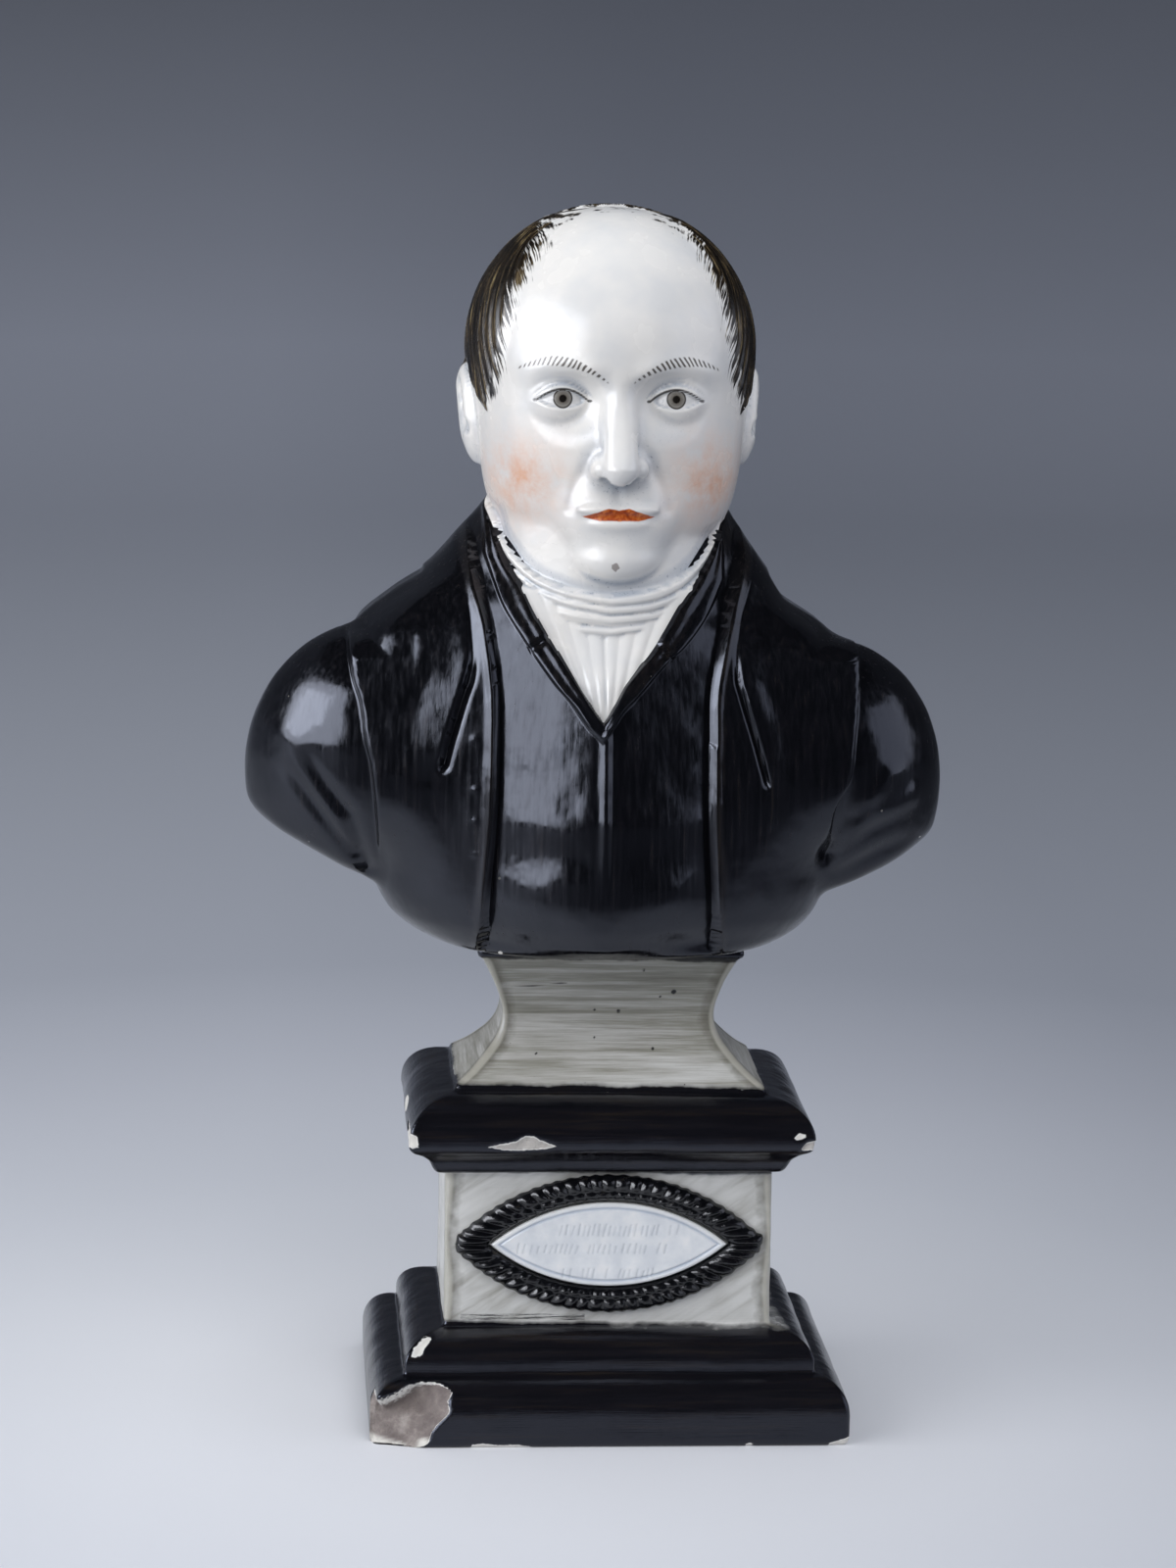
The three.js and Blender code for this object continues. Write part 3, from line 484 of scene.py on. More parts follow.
for k in range(turns):
    n = (k + 1) % turns
    tablet_faces.append((rim_walk[n], rim_walk[k], first + k, first + n))
    tablet_faces.append((first + turns, first + n, first + k))
tablet_points = np.vstack([front_face, back_rim, [[0, -(block_half_depth + seam), tablet_height]]])
tablet_facts = {"incised": (incised, 0), "stroke": (strokes, 0), "rim": (ramp(1.1, 0.5, from_edge), 1)}

# Pearlware glaze over white clay: a cold white that pools blue-grey in every hollow, very glossy.
tablet_glaze, tree = start_material("pearlware_glaze")
mm = add_node("VectorMath", [add_node("TexCoord", output="Object"), 1000.0], operation="SCALE")
fact = {name: add_node("Attribute", output="Fac", attribute_name=name) for name in tablet_facts}
cloud = add_node("TexNoise", [mm, 0.22, 4.0])
white = add_node("ValToRGB", [cloud], stops=[
    (0.35, "#d6dade"), (0.55, "#e1e4e6"), (0.7, "#e9eaea")])
line_tint = add_node("Math", [fact["incised"], 0.62], operation="MULTIPLY")
stroke_tint = add_node("Math", [fact["stroke"], 0.36], operation="MULTIPLY")

# Each paint lies over the ones before it.
colour = white
for share, paint in ((line_tint, "#93a1b6"), (stroke_tint, "#8a94a0"), (fact["rim"], "#e4e6e6")):
    colour = add_node("Mix", [share, colour, paint], data_type="RGBA")

orange_peel = add_node("TexNoise", [mm, 0.7, 2.0])
peel_bump = add_node("Bump", {"Strength": 0.3, "Distance": 0.00025, "Height": orange_peel})
shader = add_node("BsdfPrincipled", {
    "Base Color": colour, "Roughness": 0.2, "IOR": lead_glaze_ior, "Normal": peel_bump})
add_node("OutputMaterial", [shader])

add_piece("tablet", tablet_points, tablet_faces, tablet_facts, tablet_glaze, ["plaque"])


# Border
# A strip of clay pressed in a knobbed mould, bent round the tablet in two arcs and luted on.
# Two rows of knobs run along it. It is flooded with black enamel, which has filled the notches.

border_width = 7.1
border_thickness = 3.1
knobs_per_arc = 27
border_middle = tablet_half_height + arc_drop + border_width / 2

samples = 2 * knobs_per_arc * 13
across_count = 25
t = np.linspace(0, 1, across_count)
side = np.concatenate([-np.cos(t * np.pi), np.cos(np.linspace(0, np.pi, 7))[1:-1]])
on_face = np.concatenate([np.ones(across_count, bool), np.zeros(5, bool)])
strip_rings = []
for k in range(samples):
    share = 2 * k / samples
    arc = 1 if share < 1 else -1
    knob_phase = knobs_per_arc * (share % 1.0)
    wander = 0.10 * math.sin(knob_phase * 1.7) + 0.08 * math.sin(knob_phase * 0.6 + 2)
    knob_outer = 0.5 - 0.5 * math.cos(2 * math.pi * (knob_phase + wander))
    knob_inner = 0.5 - 0.5 * math.cos(2 * math.pi * (knob_phase - wander + 0.12))
    inward = -side * border_width / 2
    near_tip = ramp(0.26, 0.44, abs((share % 1.0) - 0.5))
    crown = np.clip(1 - np.abs(side) ** 3.0, 0, 1) ** 0.6
    row_outer = bump(side - 0.40 + 0.3 * near_tip, 0.44 + 0.2 * near_tip) * (knob_outer**0.6 - 0.6)
    row_inner = bump(side + 0.50, 0.26) * (knob_inner**0.7 - 0.5) * (1 - 0.7 * near_tip)
    middle = -0.16 * bump(side + 0.16, 0.13) * (1 - near_tip)
    height = border_thickness * (0.84 * crown + (0.30 * row_outer + 0.17 * row_inner + middle) * crown)
    height = np.where(on_face, np.maximum(height, 0), -0.12 * (1 - side**2))
    scallop = 0.32 * (knob_outer - 0.6) * ramp(0.4, 1.0, side)
    radius = border_middle - inward + scallop * on_face
    turn = np.arccos(np.clip(arc_drop / radius, -1, 1)) * (1 - 2 * (share % 1.0))
    x = arc * radius * np.sin(turn)
    z = arc * (radius * np.cos(turn) - arc_drop)
    strip_rings.append(np.column_stack([x, -(block_half_depth + seam) - height, z + tablet_height]))
strip_rings = np.array(strip_rings)
strip_points = strip_rings.reshape(-1, 3)
off_block = strip_points[:, 1] < -block_half_depth - 0.6
strip_points[:, 1] -= 0.10 * unevenness(strip_points, 6, 41) * off_block
# The strip's outer edge is blunt where the arcs meet, and its torn end laps over on the right.
up_from_middle = strip_points[:, 2] - tablet_height
outer_share = np.tile(np.clip(side, 0, 1), samples)
tips = bump(np.abs(strip_points[:, 0]) - 43.2, 3.4) * outer_share
strip_points[:, 2] += 1.9 * tips * np.sign(up_from_middle) * ramp(0, 1.6, np.abs(up_from_middle))
strip_points[:, 0] -= 1.3 * np.sign(strip_points[:, 0]) * tips
torn = np.exp(-(((strip_points[:, 0] - 42.5) / 2.2) ** 2 + ((up_from_middle - 1.4) / 1.1) ** 2))
strip_points[:, 0] += 2.0 * torn * outer_share
strip_points[:, 1] -= 0.7 * torn * (strip_points[:, 1] < -block_half_depth - 0.6)

# Poured black enamel: nearly a mirror, browner in scattered blotches where it is thin.
border_enamel, tree = start_material("poured_black_enamel")
mm = add_node("VectorMath", [add_node("TexCoord", output="Object"), 1000.0], operation="SCALE")
blotch = add_node("TexNoise", [mm, 0.35, 5.0, 0.6])
black = add_node("ValToRGB", [blotch], stops=[
    (0.4, "#08090c"), (0.62, "#0f0f13"), (0.76, "#26221b")])
dull = add_node("MapRange", [blotch, 0.35, 0.7, 0.14, 0.30])
pooled = add_node("TexNoise", [mm, 0.8, 2.0])
pool_bump = add_node("Bump", {"Strength": 0.4, "Distance": 0.0003, "Height": pooled})
shader = add_node("BsdfPrincipled", {
    "Base Color": black, "Roughness": dull, "IOR": lead_glaze_ior, "Normal": pool_bump})
add_node("OutputMaterial", [shader])

add_piece("knobbed_border", strip_points, tube_faces(samples, strip_rings.shape[1], closed=True), {},
          border_enamel, ["plaque_border"])


# Coat and waistcoat
# The body of the bust, press-moulded in one with the head and luted to the pedestal. The coat
# hangs open over a closed waistcoat with a standing collar, and the arms end in slanting cuts.

coat_bottom = pedestal_top + seam
coat_middle = -3.0
coat_levels = np.array([  # height, then reach to the left, right, front and back
    (coat_bottom, 37.0, 35.0, 17.6, 17.0), (128.5, 42.5, 41.0, 36.4, 24.5),
    (130.0, 47.5, 45.5, 38.2, 27.5), (133.0, 53.0, 50.5, 39.0, 29.2),
    (138.0, 58.5, 54.5, 41.0, 30.8), (146.0, 62.3, 57.8, 42.3, 32.0),
    (165.0, 66.5, 61.5, 43.2, 34.5), (185.0, 70.0, 64.0, 41.3, 36.2), (203.0, 70.5, 63.0, 37.6, 36.2),
    (212.0, 67.5, 55.5, 34.8, 34.5), (220.0, 58.4, 44.2, 32.0, 32.0), (227.0, 47.8, 39.5, 29.3, 29.4),
    (235.0, 40.5, 33.7, 26.0, 27.2), (243.0, 33.4, 28.5, 22.0, 26.0), (250.0, 29.0, 25.0, 17.5, 25.2),
])
coat_roundness = 2.5
panel_flatness = 0.68  # how much of the front's curve is taken out between lapel and armhole
panel_edge = 40.0
sleeves = [  # middle x and z, half width, depth and height, then the cut's place and slant
    (-62.0, 172.0, 34.4, 32.0, 40.0, -95.6, 164.0, 28.8),
    (56.0, 168.0, 32.1, 32.0, 40.0, 87.0, 157.3, -24.5),
]
sleeve_lean = 0.2
opening_tip = 191.5
closing_x = -4.4
edge_slant = 0.83  # the opening's edges slant, so they are this much nearer than along a level line


def curve_through(pairs):
    """A smooth curve through (place, value) pairs that never overshoots them."""
    pairs = sorted(pairs)
    places, values = np.array([p[0] for p in pairs], float), np.array([p[1] for p in pairs], float)
    slopes = np.diff(values) / np.diff(places)
    before, after = slopes[:-1], slopes[1:]
    agree = before * after > 0
    tangents = np.where(agree, 2 * before * after / np.where(agree, before + after, 1), 0)
    tangents = np.concatenate([[slopes[0]], tangents, [slopes[-1]]])
    fine_places = np.linspace(places[0], places[-1], 900)
    i = np.clip(np.searchsorted(places, fine_places) - 1, 0, len(slopes) - 1)
    length = places[i + 1] - places[i]
    t = (fine_places - places[i]) / length
    fine_values = (values[i] * (1 - t) ** 2 * (1 + 2 * t) + tangents[i] * length * t * (1 - t) ** 2
                   + values[i + 1] * t * t * (3 - 2 * t) - tangents[i + 1] * length * t * t * (1 - t))
    return lambda place: np.interp(place, fine_places, fine_values)


def outside(edges, x, z):
    """How far each point lies outside a pair of edges in the front view, below 0 between them."""
    return np.maximum(edges[0](z) - x, x - edges[1](z))


def join(a, b, size):
    """Joins two solids, given as distances, with a fillet about as wide as size."""
    overlap = np.maximum(size - np.abs(a - b), 0) / size
    return np.minimum(a, b) - overlap * overlap * size / 4


def keep_both(a, b, size):
    """Keeps what two solids share, with a rounded edge."""
    return -join(-a, -b, size)


def ellipsoid(x, y, z, width, depth, height):
    """About the distance to an ellipsoid's surface, below 0 inside."""
    near = np.sqrt((x / width) ** 2 + (y / depth) ** 2 + (z / height) ** 2)
    slope = np.sqrt((x / width**2) ** 2 + (y / depth**2) ** 2 + (z / height**2) ** 2)
    return near * (near - 1) / np.maximum(slope, 1e-6)


reach_left, reach_right, reach_front, reach_back = [
    curve_through(list(zip(coat_levels[:, 0], coat_levels[:, k]))) for k in (1, 2, 3, 4)]


def coat_body(x, y, z):
    """The coat without its sleeves: level sections between a rectangle and an ellipse."""
    across = x - coat_middle
    width = np.where(across < 0, reach_left(z) + coat_middle, reach_right(z) - coat_middle)
    depth = np.where(y < 0, reach_front(z), reach_back(z))
    # Between each lapel and armhole the front is nearly flat.
    armhole = outside(armholes, x, z)
    flat = panel_flatness * ramp(-3, -24, y) * ramp(148, 174, z) * ramp(238, 224, z) * ramp(0.7, -0.9, armhole)
    flat *= np.maximum(ramp(1.0, 0.84, np.abs(across / width)), ramp(214, 206, z))
    past = np.abs(across) - panel_edge
    squeezed = np.abs(across) - flat * (past + np.hypot(past, 5)) / 2
    powers = np.abs(squeezed / width) ** coat_roundness + np.abs(y / depth) ** coat_roundness
    share = powers ** (1 / coat_roundness)
    wall = np.where(share > 0.01, np.hypot(across, y) * (1 - 1 / np.maximum(share, 0.01)), -depth)
    return keep_both(wall, z - coat_levels[-1, 0], 6)


def coat_with_sleeves(x, y, z):
    """The body and the arms' stumps, each an ellipsoid with a slanting cut."""
    solid = coat_body(x, y, z)
    for mid_x, mid_z, width, depth, height, cut_x, cut_z, slant in sleeves:
        leaning_y = y - 2 + sleeve_lean * (z - mid_z)
        shoulder = ellipsoid(x - mid_x, leaning_y, z - mid_z, width, depth, height)
        angle = math.radians(slant)
        below = -(x - cut_x) * math.sin(angle) - (z - cut_z) * math.cos(angle)
        solid = join(solid, keep_both(shoulder, below, 3), 2.2)
    return solid


# Edges of the dress in the front view, as x at each height, the left one and then the right one.
opening_edges = (
    curve_through([(150, 24.3), (191.9, -5.0), (197.3, -8.8), (205.5, -14.2), (213.1, -19.2),
                   (219.6, -23), (224.6, -25.6), (231.8, -30.4), (243.9, -33.7)]),
    curve_through([(150, -34.0), (191.9, -4.9), (196.2, -2.3), (201.2, 0.7), (205.1, 4), (209.6, 8),
                   (214.5, 11.3), (220.4, 15.2), (226.7, 20.3), (234.6, 25.2), (242.4, 27.9)]),
)
band_edges = (
    curve_through([(150, 16), (188.6, -6.4), (190.8, -8.6), (196.4, -12.7), (201.3, -17.2),
                   (207.9, -22.2), (212.6, -25.4), (220.5, -30.4), (226.1, -32.6), (232.5, -34.9)]),
    curve_through([(150, -26), (188.6, -4.4), (190.8, -2.9), (195, -0.1), (198.9, 4), (206.2, 11),
                   (210.5, 16.2), (218, 22.4), (226.4, 27.0)]),
)
coat_edges = (
    curve_through([(133.4, -35.1), (149.7, -34), (172.2, -32.6), (193.7, -32.3), (214.8, -34.5),
                   (224.7, -37.1), (232, -38.6)]),
    curve_through([(134.8, 26.3), (149.8, 25), (172.4, 23.8), (194, 23.9), (215.3, 27.6), (226, 31),
                   (232, 32.6)]),
)
collar_outer = (
    curve_through([(177.5, -45.7), (183.9, -48.4), (197.9, -52.4), (212.1, -52.8), (226.2, -48.9)]),
    curve_through([(173.5, 38.1), (179.4, 41.3), (198.1, 45.0), (212.4, 45.2), (221.1, 44.1)]),
)
slits = (  # the lapel's slit, which runs on upward as the groove outside the front edge's roll
    curve_through([(150, -45.9), (177.5, -45.7), (182, -44.9), (189.3, -43.0), (196.5, -40.8),
                   (202.1, -38.9), (207, -38.1), (215, -38.6), (225, -40.2), (232, -41.0)]),
    curve_through([(150, 38.3), (173.5, 38.1), (180, 36.6), (189.7, 33.7), (197.5, 31.2), (202.5, 29.9),
                   (207, 29.7), (215.3, 31.0), (226, 34.4), (232, 36.0)]),
)
slit_ends = (178.5, 174.5)
armholes = (
    curve_through([(140, -60.5), (147.2, -61.3), (157.8, -62.3), (167.9, -63), (179.3, -64.4),
                   (184.3, -65.7), (194.9, -67.2), (200.7, -69), (208, -70)]),
    curve_through([(140, 54.8), (146, 55.3), (165.8, 56.4), (177.1, 60.9), (184, 61.6), (198.8, 62.7),
                   (208, 63)]),
)
creases = [  # places from a crease's faint outer end to the armpit, its depth and its width
    ([(-83.5, 185), (-75.5, 172.5), (-69.4, 165.1), (-64, 149.5)], 1.5, 2.0),
    ([(-87.5, 179.5), (-79.8, 169.8), (-73.5, 161.0), (-68, 154)], 1.2, 1.8),
    ([(62, 180), (59.4, 166), (55.9, 156)], 1.1, 2.2),
    ([(69, 172.5), (61, 164), (55.9, 155)], 1.5, 2.4),
    ([(78, 168), (66, 161), (55.9, 153)], 1.4, 2.5),
    ([(81, 159.5), (70, 155.5), (58, 149)], 0.9, 2.2),
]
folds = [  # the folds that stand up between the creases
    ([(-86, 186), (-79, 175), (-73, 164), (-69, 153)], 0.6, 3.4),
    ([(58, 160), (65, 168), (72, 176)], 0.8, 2.8),
    ([(58, 155), (68, 164), (78, 170)], 0.8, 2.8),
]
worn_buttons = [(-37.6, 187.1), (-37.3, 173.9), (-37.4, 165.6), (-37.3, 157.0)]
band_notches = [[(-24.4, 209.1), (-18.2, 213.2)], [(7.7, 212.2), (12.9, 207.6)]]


def chest_rise(x, z):
    """The waistcoat is highest along its closing and falls away to the coat on either side."""
    side = np.abs(x - closing_x)
    rise = 6.2 - 9.5 * np.hypot(np.minimum(side, 32) / 29, 0.12)
    return rise * ramp(127.5, 133, z) * ramp(244, 222, z)


def coat_relief(x, y, z):
    """How far the dress stands out from the plain body, or below 0 how far it lies in."""
    front = ramp(2, -8, y)
    left = x < closing_x
    side = np.abs(x - closing_x)
    opening = edge_slant * outside(opening_edges, x, z)
    band = edge_slant * outside(band_edges, x, z)
    edge = outside(coat_edges, x, z)
    slit = outside(slits, x, z)
    outer = outside(collar_outer, x, z)

    waist = (2.6 * bump(z - 146.0, 11) + 0.8 * bump(z - 165, 6)) * bump(side - 17, 16)
    lap = 0.7 * bump(x - closing_x, 1.3) - 0.4 * bump(x - closing_x - 1.8, 0.7)
    on_coat = ramp(-0.3, 0.4, edge)
    lap_length = ramp(opening_tip, opening_tip - 3, z) * ramp(140, 165, z)
    relief = (1 - on_coat) * (chest_rise(x, z) + waist) + lap * lap_length

    # Its standing collar is a band with a roll along each side.
    share = np.clip(opening / np.maximum(opening - band, 0.4), 0, 1)
    rolls = 1.5 * share + 0.5 * bump(share - 0.24, 0.24) + 0.3 * bump(share - 0.78, 0.2)
    in_opening = ramp(0.3, -0.3, opening) * ramp(opening_tip - 1, opening_tip + 0.6, z)
    relief += rolls * ramp(0.35, -0.35, band) * ramp(186.5, 192, z)
    relief += in_opening * (0.8 * chest_rise(x, z) * ramp(214, 200, z) - 3.4 - relief)

    # The coat's front edge is a roll. The slit of the lapel opens outside it.
    roll = np.where(left, 0.8, 0.45) * bump(edge - 1.1, 1.0) - 0.4 * bump(edge + 1.0, 0.7)
    relief += 0.8 * on_coat + roll * ramp(129, 134, z) * ramp(238, 214, z)
    slit_end = np.where(left, slit_ends[0], slit_ends[1])
    in_slit = ramp(slit_end - 1.2, slit_end + 1.6, z)
    depth = np.where(left, 2.4, 1.2) * (1 - 0.6 * ramp(201, 208, z) - 0.25 * ramp(210, 226, z))
    relief -= depth * bump(slit, np.where(left, 1.1, 0.7)) * in_slit
    lapel = ramp(0.2, 1.6, slit) * ramp(slit_end - 3, slit_end + 8, z) * ramp(212, 196, z)
    relief += lapel * np.where(left, 1.5 - 0.13 * np.clip(slit, 0, 11), 0.9 * ramp(9, 3, slit))
    relief += 0.3 * ramp(1.4, -1.4, outer) * ramp(200, 210, z)
    for places, depth, width in creases:
        deeper = ramp(0, 15, np.hypot(x - places[0][0], z - places[0][1]))
        relief -= depth * bump(line_distance(x, z, places), width) * deeper
    for places, rise, width in folds:
        relief += rise * bump(line_distance(x, z, places), width)
    for bx, bz in worn_buttons:
        relief += 0.22 * ramp(1.5, 0.3, np.hypot(x - bx, (z - bz) * 1.1))
    for places in band_notches:
        relief -= 1.2 * bump(line_distance(x, z, places), 0.6) * (band < 0.4)

    # Behind are the coat's turned-down collar, its middle seam and two curved ones.
    back_edge = 213 + 13 * (side / 46) ** 2
    curved_seam = np.abs(np.abs(x - coat_middle) - 24 - 0.0065 * (z - 150) ** 2)
    behind = 1.25 * ramp(-0.6, 0.6, z - back_edge)
    behind -= 0.55 * bump(x - coat_middle, 0.9) * ramp(back_edge + 1, back_edge - 3, z)
    behind -= 0.45 * bump(curved_seam, 0.9) * ramp(206, 196, z)
    return (front * relief + (1 - front) * behind) * ramp(128.0, 129.5, z)


def coat_field(points):
    """The whole dressed body, as a distance to its surface."""
    x, y, z = points.T
    hand = 0.28 * unevenness(points, 26, 51) + 0.05 * unevenness(points, 6, 52)
    return coat_with_sleeves(x, y, z) - coat_relief(x, y, z) - hand * ramp(128.5, 134, z)


def first_hit(field, origins, directions, farthest):
    """The first point of a solid that each ray meets, coming in from farthest."""
    inside = np.full(len(origins), float(farthest))
    outside = inside.copy()
    active = np.arange(len(origins))
    while active.size:
        gap = field(origins[active] + directions[active] * inside[active, None])
        clear = (gap >= 0) & (inside[active] > 0.6)
        moving = active[clear]
        outside[moving] = inside[moving]
        inside[moving] -= np.maximum(0.4, 0.65 * gap[clear])
        active = moving
    for _ in range(9):
        middle = (inside + outside) / 2
        hit = field(origins + directions * middle[:, None]) < 0
        inside, outside = np.where(hit, middle, inside), np.where(hit, outside, middle)
    return origins + directions * inside[:, None]


def ring_rays(starts, rises, spreads, turns, centres):
    """Rays of each ring: level ones start spread along a line, so long sections are met squarely."""
    level, same = np.cos(rises)[:, None], 0 * turns
    across, deep = np.cos(turns), np.sin(turns)
    directions = np.stack([level * across, level * deep, np.sin(rises)[:, None] + same], -1)
    start_x = centres[0][:, None] + spreads[:, None] * across
    origins = np.stack([start_x, centres[1][:, None] + same, starts + same], -1)
    return origins.reshape(-1, 3), directions.reshape(-1, 3)


def front_crowded(columns, crowding):
    """Turns of a ring's rays, closer together in front."""
    share = np.arange(columns) / columns
    return 2 * np.pi * (share - crowding * np.sin(2 * np.pi * share) / (2 * np.pi)) - np.pi / 2


def hollows(field, points, reach):
    """How closed in each point is by what stands round it, from 0 in the open to 1."""
    centre = field(points)
    slope = np.stack([field(points + step) - centre for step in 0.05 * np.eye(3)], -1)
    slope /= np.linalg.norm(slope, axis=1)[:, None] + 1e-9
    return np.clip(1 - field(points + slope * reach) / reach, 0, 1)


# The mesh's columns follow the edges of the dress in front. Each number is how many columns lie
# between one edge and the next, from the left armhole to the right one and then round the back.
heights = np.concatenate([np.linspace(coat_bottom, 131.5, 9)[:-1], np.linspace(131.5, 251.5, 198)])
spread_curve = curve_through([(127, 22), (146, 34), (165, 48), (200, 48), (214, 38), (228, 18), (256, 0)])
middles = (np.full(len(heights), coat_middle), np.zeros(len(heights)))
level = np.zeros(len(heights))
farthest = 110
trial = np.tile(np.linspace(-1.2 * np.pi, 0.2 * np.pi, 260), (len(heights), 1))
origins, directions = ring_rays(heights[:, None], level, spread_curve(heights), trial, middles)
dressed = lambda points: coat_with_sleeves(*points.T) - 0.8
trial_x = first_hit(dressed, origins, directions, farthest)[:, 0].reshape(trial.shape)
ascending = (trial[0] >= -np.pi) & (trial[0] <= 0)
opening_room, band_room = 1.0, 2.6  # least distances from the closing, below the opening's point
least_turn = 0.0032  # radians for each column between two edges
tracks = [
    armholes[0], collar_outer[0], slits[0], coat_edges[0],
    lambda z: np.minimum(band_edges[0](z), closing_x - band_room),
    lambda z: np.minimum(opening_edges[0](z), closing_x - opening_room),
    lambda z: closing_x + 0 * z,
    lambda z: np.maximum(opening_edges[1](z), closing_x + opening_room),
    lambda z: np.maximum(band_edges[1](z), closing_x + band_room),
    coat_edges[1], slits[1], collar_outer[1], armholes[1],
]
between = [26, 24, 22, 26, 14, 18, 14, 14, 26, 22, 24, 26]
track_turns = np.empty((len(heights), len(tracks)))
for row in range(len(heights)):
    for k, track in enumerate(tracks):
        lowest, highest = 140, 214 if k in (0, 1, 11, 12) else 240  # where the edge is in view
        used = np.clip(row, *np.searchsorted(heights, [lowest, highest]))
        places = np.maximum.accumulate(trial_x[used, ascending])
        track_turns[row, k] = np.interp(track(heights[used]), places, trial[0, ascending])
for k in range(5, -1, -1):
    track_turns[:, k] = np.minimum(track_turns[:, k], track_turns[:, k + 1] - least_turn * between[k])
for k in range(7, 13):
    track_turns[:, k] = np.maximum(track_turns[:, k], track_turns[:, k - 1] + least_turn * between[k - 1])
for _ in range(4):  # so that no column jogs from one row to the next
    track_turns[1:-1] = (track_turns[:-2] + 2 * track_turns[1:-1] + track_turns[2:]) / 4
first = track_turns[:, 0]
quarter = np.full(len(heights), 0.5 * np.pi)
stops = np.column_stack([track_turns, 0 * quarter, quarter, 2 * quarter, first + 2 * np.pi])
counts = between + [66, 38, 38, 66]
turns = []
for k, count in enumerate(counts):
    t = np.arange(count) / count
    eased = 0.5 * t + 0.25 * (1 - np.cos(np.pi * t))
    turns.append(stops[:, k, None] + (stops[:, k + 1] - stops[:, k])[:, None] * eased)
turns = np.concatenate(turns, axis=1)
coat_columns = turns.shape[1]
origins, directions = ring_rays(heights[:, None], level, spread_curve(heights), turns, middles)
coat_surface = first_hit(coat_field, origins, directions, farthest)
coat_rings = with_drawn_in_ends(coat_surface.reshape(len(heights), coat_columns, 3))
x, y, z = coat_rings.reshape(-1, 3).T
edge = outside(coat_edges, x, z)
opening = edge_slant * outside(opening_edges, x, z)
on_band = ramp(-1, 1, opening) * ramp(5, 3, opening) * ramp(194, 205, z)
thin_film = (0.8 * bump(edge - 1.5, 1.1) + 0.45 * on_band) * ramp(0, -8, y)
nicks = [(-79.9, 156.4, 0.28), (81.4, 157.2, 0.3), (-30.0, 129.5, 0.6)]
nicked = np.zeros(len(x))
for nick_x, nick_z, radius in nicks:
    away = np.hypot(x - nick_x, z - nick_z)
    nicked = np.maximum(nicked, ramp(radius + 0.3, radius - 0.3, away) * (y < 0))
coat_facts = {"thin_film": (thin_film, 0), "nicked": (nicked, 0)}

# Black lead-glazed enamel, brushed on in long strokes down the cloth. It mirrors the lamps with
# a streaky edge, and its thin film shows brown on folds and edges.
coat_enamel, tree = start_material("brushed_black_enamel")
mm = add_node("VectorMath", [add_node("TexCoord", output="Object"), 1000.0], operation="SCALE")
fact = {name: add_node("Attribute", output="Fac", attribute_name=name) for name in coat_facts}
stroke_place = add_node("VectorMath", [mm, (0.9, 0.9, 0.035)], operation="MULTIPLY")
strokes_noise = add_node("TexNoise", [stroke_place, 1.0, 5.0, 0.6])
cloud = add_node("TexNoise", [mm, 0.05, 3.0])
film = add_node("ValToRGB", [strokes_noise], stops=[
    (0.38, "#0a0b0e"), (0.6, "#0f0f13"), (0.78, "#1d1814")])
thin_break = add_node("MapRange", [strokes_noise, 0.35, 0.7])
thin_share = add_node("Math", [fact["thin_film"], thin_break], operation="MULTIPLY")
is_speck = specks(0.13, 0.8, 0.045)
bare = add_node("Math", [fact["nicked"], 0.5], operation="GREATER_THAN")

# Each paint lies over the ones before it.
colour = film
for share, paint in ((thin_share, "#231e18"), (is_speck, "#6d6b66"), (bare, "#d8d6cf")):
    colour = add_node("Mix", [share, colour, paint], data_type="RGBA")

dull = add_node("MapRange", [strokes_noise, 0.35, 0.68, 0.08, 0.26])
dull_cloud = add_node("MapRange", [cloud, 0.3, 0.7, -0.02, 0.05])
roughness = add_node("Math", [dull, dull_cloud], operation="ADD")
ripple = add_node("TexNoise", [mm, 0.14, 1.6])
ripple_bump = add_node("Bump", {"Strength": 0.42, "Distance": 0.0006, "Height": ripple})
stroke_bump = add_node("Bump", {
    "Strength": 0.28, "Distance": 0.00012, "Height": strokes_noise, "Normal": ripple_bump})
shader = add_node("BsdfPrincipled", {
    "Base Color": colour, "Roughness": roughness, "IOR": lead_glaze_ior, "Specular Tint": "#e9efff",
    "Normal": stroke_bump})
add_node("OutputMaterial", [shader])

add_piece("coat_and_waistcoat", with_ends(coat_rings), tube_faces(len(coat_rings), coat_columns),
          coat_facts, coat_enamel, ["bust"])


# Head, neckcloth and shirt front
# The same moulding's white part: a bald man's head with combed side hair, a neckcloth wound in
# folds, and a pleated shirt front in the waistcoat's opening. Features are painted on the glaze.

head_x = -1.5
head_top = 320.4
chin_height = 226.0
skull_height = 284.0
skull_half_width = 37.0
skull_half_depth = 40.5
skull_y = 3.0
eye_height = (head_top + chin_height) / 2
brow_height = eye_height + 7.8
nose_base = (brow_height + chin_height) / 2
mouth_height = nose_base - (nose_base - chin_height) / 3
eye_spacing = 14.5
eye_half_width = 6.4
eyeball_y, eyeball_radius = -24.6, 7.6
lid_radius, lid_half_height = 8.7, 8.4
cravat_x, cravat_y = -3.0, -5.0
cravat_half_width, cravat_half_depth = 31.0, 28.5
fold_lines = [223.6, 220.7, 218.1, 214.8, 212.3, 209.2]
fold_rise = curve_through([(0, 0), (10, 1.2), (17.5, 3.4), (22, 6.2), (26, 10.2), (28.5, 14.2),
                           (30, 18.6), (31.5, 22)])
side_rise = 22.0


